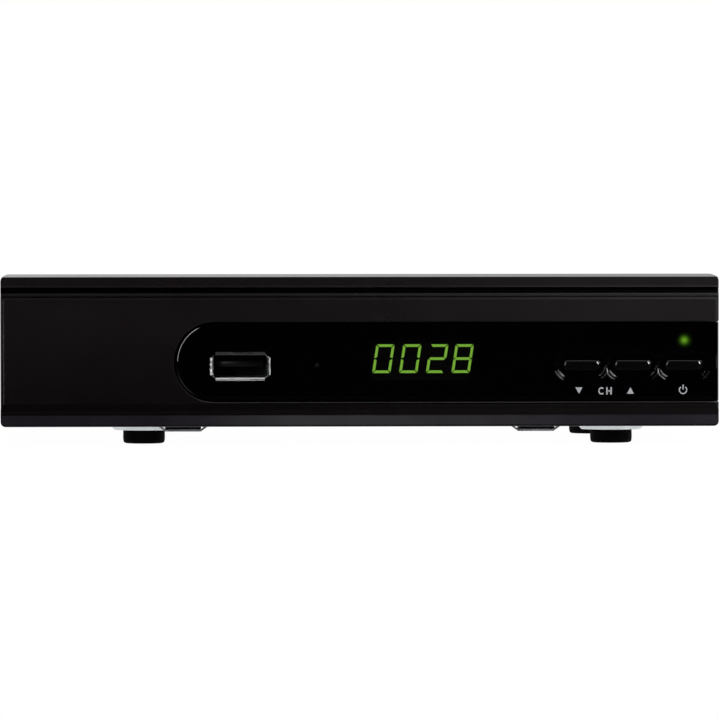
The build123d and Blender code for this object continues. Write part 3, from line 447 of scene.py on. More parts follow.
def join(*parts):
    """Several (points, faces) as one."""
    points, faces = [], []
    for more_points, more_faces in parts:
        base = len(points)
        points += more_points
        faces += [tuple(base + i for i in face) for face in more_faces]
    return points, faces


def oblong_outline(x0, x1, z0, z1):
    """Corners of a box of the front view."""
    return [(x0, z0), (x1, z0), (x1, z1), (x0, z1)]


def slab(outline, y0, y1):
    """Points and faces of an outline of the front view, given a thickness."""
    return skin([[(x, y, z) for x, z in outline] for y in (y0, y1)])


def brick(x0, x1, y0, y1, z0, z1):
    """Points and faces of a box."""
    return slab(oblong_outline(x0, x1, z0, z1), y0, y1)


def pill_ring(x, z, length, height, inset, y, steps=14):
    """Points round a pill that lies level in the front view, moved inwards by inset."""
    radius = height / 2 - inset
    flat = (length - height) / 2
    ring = []
    for side, start in ((1, -90), (-1, 90)):
        for step in range(steps + 1):
            turn = math.radians(start + 180 * step / steps)
            ring.append((x + side * flat + radius * math.cos(turn), y,
                         z + radius * math.sin(turn)))
    return ring


def lathe(profile, centre, axis, steps=56):
    """Rings about an axis through the centre, from (radius, distance along it) pairs."""
    x, y, z = centre
    rings = []
    for radius, along in profile:
        ring = []
        for step in range(steps):
            turn = 2 * math.pi * step / steps
            a, b = radius * math.cos(turn), radius * math.sin(turn)
            ring.append((x + a, y + b, z + along) if axis == "z" else (x + a, y + along, z + b))
        rings.append(ring)
    return skin(rings)


# Digits: mitred bars of a seven-segment display, lit ones apart from dark ones

digit_width, digit_height, stroke_width, mitre_gap = 4.28, 6.72, 0.60, 0.11
digit_slant = math.tan(math.radians(8.7))
digit_drop = 0.02
digit_places = (-9.42, -3.12, 3.16, 9.14)
digit_segments = ("abcdef", "abcdef", "abged", "abcdefg")
bar_blunt, bar_nib = 0.1, 0.05


def segment(letter):
    """Outline of one bar about the digit's middle, before the slant."""
    w, h, t, g = digit_width / 2, digit_height / 2, stroke_width, mitre_gap
    if letter in "ad":
        outline = [(-w + g + bar_blunt, h), (w - g - bar_blunt, h), (w - t - g, h - t),
                   (-w + t + g, h - t)]
        return [(x, z if letter == "a" else -z) for x, z in outline]
    if letter == "g":
        side = w - g - t / 4
        return [(-side, 0), (-side + t / 2, t / 2), (side - t / 2, t / 2), (side, 0),
                (side - t / 2, -t / 2), (-side + t / 2, -t / 2)]
    outline = [(w, h - g - bar_blunt), (w, t / 3), (w - t / 3, g + bar_nib), (w - t, t / 2 + g),
               (w - t, h - t - g)]
    return [(x if letter in "bc" else -x, z if letter in "bf" else -z) for x, z in outline]


digit_low, digit_high = box_mm("display_digits")
for name, slot, shown, stands_for in (
    ("digits_lit", "lit_segment", True, "display_digits"),
    ("digits_dark", "dark_segment", False, "dark_segments"),
):
    bars = []
    for place, letters in zip(digit_places, digit_segments):
        for letter in "abcdefg":
            if (letter in letters) == shown:
                bars.append(slab([(display_x + place + x + z * digit_slant,
                                   display_z - digit_drop + z) for x, z in segment(letter)],
                                 digit_low.y, digit_high.y))
    points, faces = join(*bars)
    piece(name, points, faces, "case", [finishes[slot]], [stands_for])

# Window: a skin over the front view that turns round the right side. Along the skin, u is X on the
# front and goes on round the bend and along the side

window_low, window_high = box_mm("display_window")
window_face = window_low.y
window_side_proud = 0.048
window_side = window_high.x + window_side_proud
window_mid = (window_low.z + window_high.z) / 2
window_thickness = 1.5
window_side_wall = 1.2
window_bend = 0.95
end_radius = (window_high.z - window_low.z) / 2
end_x = window_low.x + end_radius
bend_start = window_side - window_bend
bend_end = bend_start + window_bend * math.pi / 2
skin_end = bend_end + (window_high.y - window_face - window_bend)
rim_width, rim_depth = 1.15, 0.8
crisp_start, crisp_run, crisp_share = bend_start - 7.5, 6.5, 0.85
dish_length, dish_height = 12.9, 7.2
dish_slope, dish_rounding = 0.95, 0.10
dish_tilt = math.tan(math.radians(35.8))
keys = {}
for key in ("channel_down", "channel_up", "power"):
    x, _, z = centre_mm(key + "_button")
    keys[key] = (x, z)
key_length, key_height, key_gap = 9.1, 2.6, 0.25
opening_length, opening_height = key_length + 2 * key_gap, key_height + 2 * key_gap
usb_low, usb_high = box_mm("usb_shell")
usb_x, _, usb_z = centre_mm("usb_shell")
usb_open_width, usb_open_height = 12.5, 5.12
usb_lip_width, usb_lip_height = 11.5, 4.1
usb_wall, usb_bend = 0.3, 1.1
usb_gap, usb_reach, usb_lip_depth = 0.06, 0.78, 0.58
usb_mouth = usb_low.y + usb_lip_depth


def rim_inset(u, z):
    """Distance from the window's outline."""
    if u < end_x:
        return end_radius - math.hypot(u - end_x, z - window_mid)
    return end_radius - abs(z - window_mid)


def pill_inset(u, z, x, centre_z, length, height):
    """Distance inside a level pill's outline, negative outside."""
    flat = (length - height) / 2
    return height / 2 - math.hypot(max(0.0, abs(u - x) - flat), z - centre_z)


def dish_inset(u, z, place):
    """Distance inside the outline of the dish round a key."""
    return pill_inset(u, z, *place, dish_length, dish_height)


def dish_drop(inset):
    """Depth of a dish at a distance inside its outline."""
    t = min(dish_slope, max(0.0, inset))
    if t < dish_rounding:
        return dish_tilt * t * t / (2 * dish_rounding)
    if t < dish_slope - dish_rounding:
        return dish_tilt * (t - dish_rounding / 2)
    left = dish_slope - t
    return dish_tilt * (dish_slope - dish_rounding - left * left / (2 * dish_rounding))


def window_drop(u, z):
    """How far the window's surface lies below its face."""
    crisp = 1 - crisp_share * min(1.0, max(0.0, (u - crisp_start) / crisp_run))
    share = max(0.0, 1 - rim_inset(u, z) / rim_width / crisp)
    drop = rim_depth * crisp * (1 - math.sqrt(max(0.0, 1 - share * share)))
    return max(drop, *(dish_drop(dish_inset(u, z, place)) for place in keys.values()))


def frame_at(u):
    """Point on the outer face, its outward normal and tangent, in X and Y, and the wall there."""
    if u <= bend_start:
        return (u, window_face), (0, -1), (1, 0), window_thickness
    if u >= bend_end:
        place = (window_side, window_face + window_bend + u - bend_end)
        return place, (1, 0), (0, 1), window_side_wall
    turn = (u - bend_start) / window_bend
    normal = (math.sin(turn), -math.cos(turn))
    place = (bend_start + window_bend * normal[0], window_face + window_bend * (1 + normal[1]))
    wall = window_thickness + (window_side_wall - window_thickness) * turn / (math.pi / 2)
    return place, normal, (math.cos(turn), math.sin(turn)), wall


def socket_hole():
    """Outline of the window's hole for the USB socket, close round its lips."""
    half_width = usb_open_width / 2 + usb_reach + usb_gap
    half_height = usb_open_height / 2 + usb_reach + usb_gap
    flat_x, flat_z = usb_lip_width / 2 + usb_gap, usb_lip_height / 2 + usb_gap
    (side_x, side_z), (top_x, top_z) = (0.62, 0.25), (0.15, 0.6)
    corner = [(half_width, flat_z), (flat_x + side_x, flat_z + side_z),
              (flat_x + top_x, half_height - top_z), (flat_x, half_height)]
    return [(usb_x + sx * x, usb_z + sz * z)
            for sx, sz in ((1, 1), (-1, 1), (-1, -1), (1, -1))
            for x, z in (corner if sx == sz else corner[::-1])]


def window_net(hole):
    """Points and edges, in u and Z, that the window's triangles keep to."""
    spots, edges = [], []
    rim_steps, arc_steps, bend_steps, edge_steps = 9, 40, 8, 8
    dish_steps = (0, 1, 2, 3, 4, 7, 10, 13, 16, 17, 18, 19, 20)
    dish_ring_steps, opening_steps, seam_margin = 24, 18, 0.03

    def strand(points, closed=False):
        base = len(spots)
        spots.extend(points)
        edges.extend((base + i, base + i + 1) for i in range(len(points) - 1))
        if closed:
            edges.append((base + len(points) - 1, base))

    columns = [-20.0, 0.0, 20.0, 40.0, 60.0, bend_start]
    right_columns = len(columns) - 1
    columns += [bend_start + (bend_end - bend_start) * step / bend_steps
                for step in range(1, bend_steps + 1)]
    columns += [bend_end + (skin_end - bend_end) / 2, skin_end]
    turns = [math.radians(90 + 180 * i / arc_steps) for i in range(arc_steps + 1)]
    for step in range(rim_steps + 1):
        radius = end_radius - rim_width * (1 - math.cos(math.radians(90 * step / rim_steps)))
        upper = [(u, window_mid + radius) for u in reversed(columns)]
        arc = [(end_x + radius * math.cos(t), window_mid + radius * math.sin(t)) for t in turns]
        strand(upper + arc + [(u, window_mid - radius) for u in columns])
    strand([(skin_end, window_mid - end_radius + rim_width * i / edge_steps)
            for i in range(edge_steps + 1)])
    for share in (-0.6, -0.2, 0.2, 0.6):
        strand([(u, window_mid + share * end_radius) for u in columns[right_columns:]])
    places = list(keys.values())
    for place in places:
        others = [other for other in places if other[0] != place[0]]
        for step in dish_steps:
            inset = dish_slope * step / dish_steps[-1]
            ring = pill_ring(*place, dish_length, dish_height, inset, 0, dish_ring_steps)
            run = []
            for u, _, z in ring + ring[:1]:
                depth = dish_inset(u, z, place)
                if any(dish_inset(u, z, other) > depth - seam_margin for other in others):
                    strand(run)
                    run = []
                else:
                    run.append((u, z))
            strand(run)
        opening = pill_ring(*place, opening_length, opening_height, 0, 0, opening_steps)
        strand([(u, z) for u, _, z in opening], True)
    for (xa, za), (xb, _) in zip(places, places[1:]):
        half_gap = (xb - xa) / 2 - (dish_length - dish_height) / 2
        reach = math.sqrt((dish_height / 2) ** 2 - half_gap ** 2)
        strand([((xa + xb) / 2, za + reach * i / edge_steps)
                for i in range(-edge_steps, edge_steps + 1)])
    strand(hole, True)
    return spots, edges


def window_skin():
    """The window as points, faces, the front's normals and the number of its triangles."""
    hole = socket_hole()
    spots, edges = window_net(hole)
    closeness, least_area, small = 1e-5, 1e-9, 0.004
    made = delaunay_2d_cdt([Vector(p) for p in spots], edges, [], 0, closeness)
    spots, triangles = made[0], made[2]

    def in_socket(u, z):
        """Even-odd test against the hole for the socket."""
        inside = False
        for (xa, za), (xb, zb) in zip(hole, hole[1:] + hole[:1]):
            if (za > z) != (zb > z) and u < xa + (z - za) * (xb - xa) / (zb - za):
                inside = not inside
        return inside

    def open_at(u, z):
        return (rim_inset(u, z) < 0 or u > skin_end or in_socket(u, z)
                or any(pill_inset(u, z, *place, opening_length, opening_height) > 0
                       for place in keys.values()))

    kept = []
    for triangle in triangles:
        a, b, c = (spots[i] for i in triangle)
        area = (b - a).cross(c - a) / 2
        middle = (a + b + c) / 3
        if abs(area) > least_area and not open_at(middle.x, middle.y):
            kept.append(tuple(triangle) if area > 0 else tuple(reversed(triangle)))
    used = sorted({i for triangle in kept for i in triangle})
    number = {old: new for new, old in enumerate(used)}
    kept = [tuple(number[i] for i in triangle) for triangle in kept]
    fronts, backs, normals = [], [], []
    for u, z in (spots[i] for i in used):
        (px, py), (nx, ny), (tx, ty), wall = frame_at(u)
        drop = window_drop(u, z)
        fronts.append((px - nx * drop, py - ny * drop, z))
        backs.append((px - nx * wall, py - ny * wall, z))
        slope_u = (window_drop(u + small, z) - window_drop(u - small, z)) / small / 2
        slope_z = (window_drop(u, z + small) - window_drop(u, z - small)) / small / 2
        normals.append(Vector((nx + slope_u * tx, ny + slope_u * ty, slope_z)).normalized())
    count = len(used)
    directed = {(t[i], t[(i + 1) % 3]) for t in kept for i in range(3)}
    walls = [(b, a, a + count, b + count) for a, b in directed if (b, a) not in directed]
    rear = [tuple(i + count for i in reversed(triangle)) for triangle in kept]
    return fronts + backs, kept + walls + rear, normals, len(kept)


points, faces, front_normals, front_count = window_skin()
# Clear areas of the front and of the back: width and height, or radius and soft edge
display_view, lamp_view, eye_view = (25.0, 10.2), (1.9, 1.2), (1.5, 0.4)
display_gap, lamp_gap, eye_gap = (25.2, 10.4), (2.2, 0.2), (1.7, 0.2)
smoke = Surface("smoked_window", (0.0002, 0.00018, 0.0002), 0.045, specular=0.5).mottle(25, 0.25)
seen_through = smoke.most(
    smoke.times(smoke.oblong(display_x, display_z, *display_view), 0.30),
    smoke.times(smoke.disc(lamp_x, lamp_z, *lamp_view), 0.45),
    smoke.times(smoke.disc(eye_x, eye_z, *eye_view), 0.22))
smoke.set("Alpha", smoke.math("SUBTRACT", 1.0, seen_through))
# Painted glow: the window itself gives off green light round the lamp, beyond the lamp's own glow
smoke.set("Emission Color", (0.35, 1.0, 0.04))
smoke.set("Emission Strength", smoke.glow(glow_x, glow_z, 0.6, 0.27))
masked_back = Surface("smoked_window_back", (0.002, 0.002, 0.002), 0.5, specular=0.2)
masked_back.mottle(4, 0.2)
bare = masked_back.most(masked_back.oblong(display_x, display_z, *display_gap),
                        masked_back.disc(lamp_x, lamp_z, *lamp_gap),
                        masked_back.disc(eye_x, eye_z, *eye_gap))
masked_back.set("Alpha", masked_back.math("SUBTRACT", 1.0, bare))

mesh = bpy.data.meshes.new("window")
mesh.from_pydata([Vector(p) * MM for p in points], [], faces)
mesh.materials.append(smoke.mat)
mesh.materials.append(masked_back.mat)
back_start = len(faces) - front_count
mesh.polygons.foreach_set("material_index", [int(i >= back_start) for i in range(len(faces))])
mesh.polygons.foreach_set("use_smooth", [True] * len(faces))
mesh.normals_split_custom_set([
    front_normals[vertex] if polygon.index < front_count else polygon.normal.copy()
    for polygon in mesh.polygons for vertex in polygon.vertices])
window = bpy.data.objects.new("window", mesh)
scene.collection.objects.link(window)
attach(window, "case")
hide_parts("display_window")

# USB shell: tube with four lips that roll outwards at its mouth

lip_start, lip_end_level, lip_end_upright = 32, 76, 74
lip_steps, lip_stretch = 6, 0.12
shell_round, shell_bore_round = 0.85, 0.6
side_margin, mouth_margin = 0.01, 0.05


def box_loop(half_x, half_z, radius, y, steps=5):
    """Points round a rounded box about the socket's middle in the front view."""
    loop = []
    for sx, sz, start in ((1, 1, 0), (-1, 1, 90), (-1, -1, 180), (1, -1, 270)):
        for step in range(steps + 1):
            turn = math.radians(start + 90 * step / steps)
            loop.append((usb_x + sx * (half_x - radius) + radius * math.cos(turn), y,
                         usb_z + sz * (half_z - radius) + radius * math.sin(turn)))
    return loop


def tube(outer, inner, depth):
    """Points and faces of a tube between two outlines, run back by a depth."""
    count = len(outer)
    points = []
    for loop in (outer, inner):
        points += loop + [(x, y + depth, z) for x, y, z in loop]
    outer_back, inner_front, inner_back = count, 2 * count, 3 * count
    faces = []
    for i in range(count):
        j = (i + 1) % count
        faces.append((i, j, outer_back + j, outer_back + i))
        faces.append((inner_front + i, inner_back + i, inner_back + j, inner_front + j))
        faces.append((i, inner_front + i, inner_front + j, j))
        faces.append((outer_back + i, outer_back + j, inner_back + j, inner_back + i))
    return points, faces


def lip(side, level, half, axis, last):
    """Points and faces of a lip over an edge of a half length, rolled outwards to a last angle."""
    turns = [math.radians(lip_start + (last - lip_start) * step / lip_steps)
             for step in range(lip_steps + 1)]
    root_out, root_back = usb_bend * math.cos(turns[0]), usb_bend * math.sin(turns[0])
    ahead_out, ahead_y = lip_stretch * math.sin(turns[-1]), -lip_stretch * math.cos(turns[-1])
    sheet = []
    for bend in (usb_bend, usb_bend - usb_wall):
        run = [(root_out - bend * math.cos(t), root_back - bend * math.sin(t)) for t in turns]
        run.append((run[-1][0] + ahead_out, run[-1][1] + ahead_y))
        sheet.append(run)
    rings = []
    for along in (-half, half):
        ring = []
        for out, back in sheet[0] + sheet[1][::-1]:
            place = level + side * out
            x, z = (along, place) if axis == "z" else (place, along)
            ring.append((usb_x + x, usb_mouth + back, usb_z + z))
        rings.append(ring)
    return skin(rings)


half_x, half_z = usb_open_width / 2, usb_open_height / 2
usb_parts = [
    tube(box_loop(half_x + usb_wall, half_z + usb_wall, shell_round, usb_mouth),
         box_loop(half_x, half_z, shell_bore_round, usb_mouth), usb_high.y - usb_mouth),
]
for side in (-1, 1):
    usb_parts.append(lip(side, side * half_z, usb_lip_width / 2, "z", lip_end_level))
    usb_parts.append(lip(side, side * half_x, usb_lip_height / 2, "x", lip_end_upright))
points, faces = join(*usb_parts)
inside = []
for face in faces:
    middle = sum((Vector(points[i]) for i in face), Vector()) / len(face)
    within = (abs(middle.x - usb_x) < half_x + side_margin
              and abs(middle.z - usb_z) < half_z + side_margin)
    inside.append(int(within and middle.y > usb_mouth + mouth_margin))
# Painted shade: the tube's inner faces behind its mouth get a near-black copy of the steel
shaded_steel = plated("usb_steel_painted_shade", (0.012, 0.012, 0.012), 0.4, ALONG_Y)
piece("usb_formed_shell", points, faces, "case", [finishes["usb_steel"], shaded_steel],
      ["usb_shell"], angle=40, indices=inside)

# USB tongue: its nose has a lower lip in front of the contacts; a heel fills the shell's back

tongue_low, tongue_high = box_mm("usb_tongue")
tongue_rise, tongue_half_x, tongue_half_z, tongue_round = 0.97, 5.55, 0.92, 0.12
heel_length, heel_gap, heel_round, lip_cover = 1.75, 0.1, 0.5, 0.03
heel_front = tongue_high.y - heel_length
contact_low = box_mm("usb_contacts")[0].z
lip_drop = usb_z + tongue_rise - tongue_half_z - contact_low + lip_cover
tongue_rings = []
for inset, back, nose, drop in (
    (0.1, 0.0, 0.75, lip_drop), (0.0, 0.12, 0.62, lip_drop), (0.0, 0.45, 0.3, lip_drop),
    (0.0, 0.5, 0.26, 0.0), (0.0, 1.1, 0.0, 0.0), (0.0, heel_front - tongue_low.y, 0.0, 0.0),
):
    half = tongue_half_z - inset / 2 - nose / 2 + drop / 2
    ring = box_loop(tongue_half_x - inset, half, tongue_round, tongue_low.y + back, 2)
    tongue_rings.append([(x, y, z + tongue_rise - nose / 2 - drop / 2) for x, y, z in ring])
heel_rings = [box_loop(half_x - heel_gap, half_z - heel_gap, heel_round, y, 3)
              for y in (heel_front, tongue_high.y)]
points, faces = join(skin(tongue_rings), skin(heel_rings))
piece("usb_insulator", points, faces, "case", [finishes["usb_insulator"]],
      ["usb_tongue"], angle=40)

# Keys: crowned pills with rounded edges, a flange behind the window and a stem

key_gloss = Surface("key_plastic", (0.0009, 0.0008, 0.0009), 0.09, specular=0.5)
key_gloss.mottle(2, 0.2).gloss(1.5, 0.03).grain(0.5, 0.0008)
key_crown = ((1.1, 0.0), (0.9, 0.01), (0.75, 0.03), (0.62, 0.06), (0.48, 0.115), (0.34, 0.195),
             (0.22, 0.29), (0.12, 0.41), (0.05, 0.53), (0.01, 0.65), (0.0, 0.8))
flange_face, flange_thickness, flange_overlap, stem_half = -61.6, 0.8, 0.1, 1.2
flange_back = flange_face + flange_thickness
for key, (x, z) in keys.items():
    low, high = box_mm(key + "_button")
    levels = [(inset, low.y + drop) for inset, drop in key_crown]
    levels.append((0, flange_face + flange_overlap))
    rings = [pill_ring(x, z, key_length, key_height, inset, y) for inset, y in levels]
    flange = brick(low.x, high.x, flange_face, flange_back, low.z, high.z)
    stem = brick(x - stem_half, x + stem_half, flange_back, high.y, z - stem_half, z + stem_half)
    points, faces = join(skin(rings), flange, stem)
    piece(key + "_key_cap", points, faces, key + "_key", [key_gloss],
          [key + "_button"], angle=50)

# Feet: rubber with a rounded lower edge and slightly bowed sides

foot_side = ((2.0, 0.06), (1.35, 0.0), (0.75, 0.04), (0.35, 0.17), (0.14, 0.4), (0.05, 0.75),
             (0, 1.4), (0, 1.9), (0.02, 2.6))
foot_top = ((0.05, 0.15), (0.15, 0))
foot_hollow = (0.4, 0.22)
for foot in ("front_left_foot", "front_right_foot", "rear_left_foot", "rear_right_foot"):
    low, high = box_mm(foot)
    x, y, _ = centre_mm(foot)
    radius, tall = (high.x - low.x) / 2, high.z - low.z
    profile = [foot_hollow] + [(radius - inset, up) for inset, up in foot_side]
    profile += [(radius - inset, tall - down) for inset, down in foot_top]
    points, faces = lathe(profile, (x, y, low.z), "z")
    piece(foot + "_rubber", points, faces, "case", [rubber], [foot], angle=50)

# Marks printed on the window, below the keys

ink = Surface("printed_marks", (0.165, 0.17, 0.18), 0.6, specular=0.15)
ink.mottle(0.4, 0.06).gloss(0.5, 0.05).grain(0.1, 0.001)
ink_depth = (window_face - 0.02, window_face + 0.03)
mark_z = 12.6
down_x, up_x, text_x, power_x = 51.19, 63.25, 57.3, keys["power"][0] - 0.11
arrow_half_width, arrow_half_height, arrow_z = 0.82, 0.76, mark_z + 0.09
letter_half, letter_stroke = 0.87, 0.34
c_x, c_squash, c_open = text_x - 0.80, 0.9, (48, 312)
h_x, h_half, h_bar_half = text_x + 0.93, 0.66, 0.40
ring_z, ring_radius, ring_stroke, ring_open = mark_z + 0.2, 0.86, 0.27, (127, 413)
bar_half, bar_low, bar_high = 0.14, mark_z + 0.3, mark_z + 1.4


def print_box(x0, x1, z0, z1):
    """Points and faces of a printed box."""
    return slab(oblong_outline(x0, x1, z0, z1), *ink_depth)


def print_arc(x, z, radius, width, start, end, steps=28, squash=1.0):
    """Print of an arc stroke, in quads so that it stays inside its curve. Angles in degrees."""
    outer, inner = [], []
    for step in range(steps + 1):
        turn = math.radians(start + (end - start) * step / steps)
        cos, sin = math.cos(turn), math.sin(turn)
        outer.append((x + (radius + width / 2) * cos * squash, z + (radius + width / 2) * sin))
        inner.append((x + (radius - width / 2) * cos * squash, z + (radius - width / 2) * sin))
    return join(*(slab([outer[i], outer[i + 1], inner[i + 1], inner[i]], *ink_depth)
                  for i in range(steps)))


down_arrow = [(down_x - arrow_half_width, arrow_z + arrow_half_height),
              (down_x, arrow_z - arrow_half_height),
              (down_x + arrow_half_width, arrow_z + arrow_half_height)]
up_arrow = [(up_x - arrow_half_width, arrow_z - arrow_half_height),
            (up_x + arrow_half_width, arrow_z - arrow_half_height),
            (up_x, arrow_z + arrow_half_height)]
letter_low, letter_high = mark_z - letter_half, mark_z + letter_half
marks = {
    "mark_down": slab(down_arrow, *ink_depth),
    "mark_up": slab(up_arrow, *ink_depth),
    "mark_letter_c": print_arc(c_x, mark_z, letter_half - letter_stroke / 2, letter_stroke,
                               *c_open, squash=c_squash),
    "mark_letter_h": join(
        print_box(h_x - h_half, h_x - h_half + letter_stroke, letter_low, letter_high),
        print_box(h_x + h_half - letter_stroke, h_x + h_half, letter_low, letter_high),
        print_box(h_x - h_bar_half, h_x + h_bar_half, mark_z - letter_stroke / 2,
                  mark_z + letter_stroke / 2),
    ),
    "mark_power": join(
        print_arc(power_x, ring_z, ring_radius, ring_stroke, *ring_open),
        print_box(power_x - bar_half, power_x + bar_half, bar_low, bar_high),
    ),
}
for name, (points, faces) in marks.items():
    piece(name, points, faces, "case", [ink])

# Screws of the cover: pan heads with a cross recess

screw_low, screw_high = box_mm("cover_screws")
screw_z = centre_mm("cover_screws")[2]
head_radius, head_seat, head_edge, head_round, head_tip = 2.75, 54.9, 0.35, 1.3, 0.2
head_tall = screw_high.y - head_seat
head_top = head_seat + head_tall
shank_radius, shank_length = 1.4, 6.0
cross_reach, cross_half, cross_depth, cross_above = 1.5, 0.32, 1.1, 0.5
screw_parts, cross_parts = [], []
for x in (screw_low.x + head_radius, screw_high.x - head_radius):
    profile = [(shank_radius, -shank_length), (shank_radius, 0.0), (head_radius, 0.0),
               (head_radius, head_edge)]
    for turn in map(math.radians, range(15, 91, 15)):
        profile.append((head_radius - head_round * (1 - math.cos(turn)),
                        head_edge + (head_tall - head_edge) * math.sin(turn)))
    profile.append((head_tip, head_tall))
    screw_parts.append(lathe(profile, (x, head_seat, screw_z), "y"))
    for wide, high in ((cross_reach, cross_half), (cross_half, cross_reach)):
        cross_parts.append(brick(x - wide, x + wide, head_top - cross_depth,
                                 head_top + cross_above, screw_z - high, screw_z + high))


def cut(obj, parts, angle):
    """Takes the parts out of a mesh object for good."""
    for points, faces in parts:
        cutter = bpy.data.objects.new("cutter", solid_mesh("cutter", points, faces))
        scene.collection.objects.link(cutter)
        modifier = obj.modifiers.new("cut", "BOOLEAN")
        modifier.operation = "DIFFERENCE"
        modifier.solver = "EXACT"
        modifier.object = cutter
        bpy.context.view_layer.update()
        evaluated = obj.evaluated_get(bpy.context.evaluated_depsgraph_get())
        result = bpy.data.meshes.new_from_object(evaluated)
        obj.modifiers.clear()
        obj.data = result
        bpy.data.objects.remove(cutter)
    smooth(obj.data, angle)


points, faces = join(*screw_parts)
screws = piece("cover_screw_heads", points, faces, "case", [finishes["screw_steel"]],
               ["cover_screws"], angle=40)
cut(screws, cross_parts, angle=40)

# Aerial connector: threaded barrel

barrel_low, barrel_high = box_mm("lnb_connector")
nut_back = box_mm("lnb_nut")[1].y
core_low, core_high = box_mm("lnb_core")
barrel_x, _, barrel_z = centre_mm("lnb_connector")
crest, root, pitch = (barrel_high.x - barrel_low.x) / 2, 4.33, 0.794
crest_start, crest_end = 0.42 * pitch, 0.58 * pitch
bore = (core_high.x - core_low.x) / 2
thread_under_nut, plain_end = 0.3, 0.5
along = nut_back - barrel_low.y - thread_under_nut
end = barrel_high.y - barrel_low.y
profile = [(bore + 0.4, 0.0), (root, 0.0), (root, along)]
while along + pitch < end - plain_end:
    profile += [(crest, along + crest_start), (crest, along + crest_end), (root, along + pitch)]
    along += pitch
profile += [(crest - 0.25, end - 0.15), (crest - 0.45, end), (bore + 0.25, end),
            (bore, end - 0.25), (bore, core_low.y - barrel_low.y)]
points, faces = lathe(profile, (barrel_x, barrel_low.y, barrel_z), "y", 64)
piece("lnb_thread", points, faces, "case", [finishes["nickel_barrel"]],
      ["lnb_connector"], angle=25)

# ---------------------------------------------------------------- stage, light and camera

floor_reach = 0.42
front_edge = (-0.067, -0.060)
fade_zone = (0.12, 0.30)
floor_shade, dark_shade = (0.80, 0.80, 0.80), (0.008, 0.008, 0.008)
sky_turn = (-0.2, 0.6)
ambient = 0.25


def floor_finish():
    """Pale floor. White to the camera, nearly so close to the object, where it keeps a soft shadow.

    To mirror rays it is white behind the object's front and dark before it.
    """
    mat = bpy.data.materials.new("floor")
    graph = Graph(mat)
    plain = graph.add("ShaderNodeBsdfDiffuse", {"Color": floor_shade}).outputs[0]
    dark = graph.add("ShaderNodeBsdfDiffuse", {"Color": dark_shade}).outputs[0]
    white = graph.add("ShaderNodeEmission", {"Color": (1, 1, 1), "Strength": 1.0}).outputs[0]
    ray = graph.add("ShaderNodeLightPath").outputs
    place = graph.add("ShaderNodeTexCoord").outputs["Object"]
    reach = graph.add("ShaderNodeVectorMath", {0: place}, operation="LENGTH").outputs["Value"]
    y = graph.add("ShaderNodeSeparateXYZ", {0: place}).outputs["Y"]
    mirrored = graph.most(ray["Is Glossy Ray"], ray["Is Transmission Ray"])
    camera_share = graph.times(graph.ease(reach, 0.985, 1.0, *fade_zone), ray["Is Camera Ray"])
    mirror_share = graph.times(graph.ease(y, 0.0, 0.9, *front_edge), mirrored)
    dim = graph.times(graph.ease(y, 1.0, 0.0, *front_edge), mirrored)
    base = graph.add("ShaderNodeMixShader", {0: dim, 1: plain, 2: dark}).outputs[0]
    factor = graph.most(camera_share, mirror_share)
    mix = graph.add("ShaderNodeMixShader", {0: factor, 1: base, 2: white}).outputs[0]
    graph.add("ShaderNodeOutputMaterial", {0: mix})
    return mat


floor_mesh = bpy.data.meshes.new("floor")
turns = [math.radians(a) for a in range(0, 360, 5)]
floor_mesh.from_pydata([(floor_reach * math.cos(t), floor_reach * math.sin(t), 0) for t in turns],
                       [], [tuple(range(len(turns)))])
floor_mesh.materials.append(floor_finish())
floor = bpy.data.objects.new("floor", floor_mesh)
scene.collection.objects.link(floor)

# World: white to the camera, dim light on the object, and to mirror rays white only behind it
world = bpy.data.worlds.new("studio")
scene.world = world
sky = Graph(world)
ray = sky.add("ShaderNodeLightPath").outputs
place = sky.add("ShaderNodeTexCoord").outputs["Generated"]
behind = sky.ease(sky.add("ShaderNodeSeparateXYZ", {0: place}).outputs["Y"], 0.002, 1.0, *sky_turn)


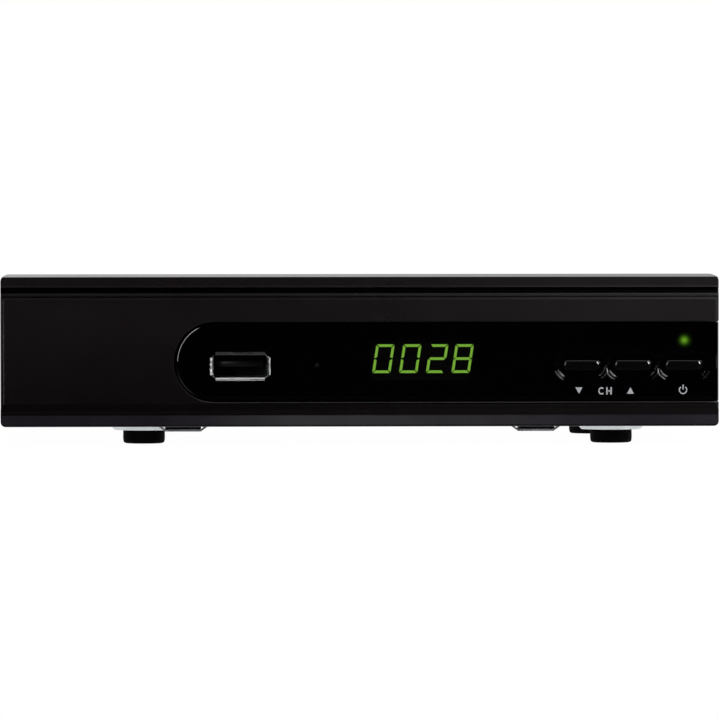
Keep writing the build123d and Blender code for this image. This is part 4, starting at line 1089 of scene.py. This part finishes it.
def pick(factor, first, second):
    """First where the factor is 0, second where it is 1."""
    inputs = {0: factor, 2: first, 3: second}
    return sky.add("ShaderNodeMix", inputs, data_type="FLOAT").outputs[0]


mirrored = pick(ray["Is Transmission Ray"], pick(ray["Is Glossy Ray"], ambient, behind), behind)
shown = pick(ray["Is Camera Ray"], mirrored, 1.0)
backdrop = sky.add("ShaderNodeBackground", {"Color": shown, "Strength": 1.0})
sky.add("ShaderNodeOutputWorld", {0: backdrop.outputs[0]})


def softbox(name, place, aim, width, height, watts):
    """Area lamp that looks at a point."""
    data = bpy.data.lights.new(name, "AREA")
    data.shape = "RECTANGLE"
    data.size, data.size_y = width, height
    data.energy = watts
    obj = bpy.data.objects.new(name, data)
    scene.collection.objects.link(obj)
    obj.location = place
    obj.rotation_mode = "QUATERNION"
    obj.rotation_quaternion = (Vector(aim) - Vector(place)).to_track_quat("-Z", "Y")


softbox("left_strip", (-0.64, -1.31, 0.64), (0, -0.06, 0.05), 0.10, 1.36, 8.0)
softbox("right_box", (0.394, -0.448, 0.338), (0, -0.06, 0.02), 0.15, 0.37, 6.4)
softbox("overhead_strip", (0.0, -0.27, 1.2), (0, -0.06, 0.02), 1.1, 0.22, 1.5)
softbox("top_box", (0, 0.35, 1.2), (0, 0, 0), 1.3, 0.9, 14)

camera_data = bpy.data.cameras.new("camera")
camera = bpy.data.objects.new("camera", camera_data)
scene.collection.objects.link(camera)
camera_data.sensor_width = 36
camera_data.lens = 306.73
camera_data.clip_start, camera_data.clip_end = 0.1, 30
distance = 1430.0
camera_x, camera_z = -44.2, 43.4
aim_x, aim_z = -0.19, 20.04
roll = math.radians(-0.06)
camera.location = Vector((camera_x, front_y - distance, camera_z)) * MM
gaze = Vector((aim_x, front_y, aim_z)) * MM - camera.location
camera.rotation_mode = "QUATERNION"
camera.rotation_quaternion = gaze.to_track_quat("-Z", "Y") @ Quaternion((0, 0, 1), roll)
scene.camera = camera
scene.view_settings.view_transform = "Standard"

bpy.context.view_layer.update()
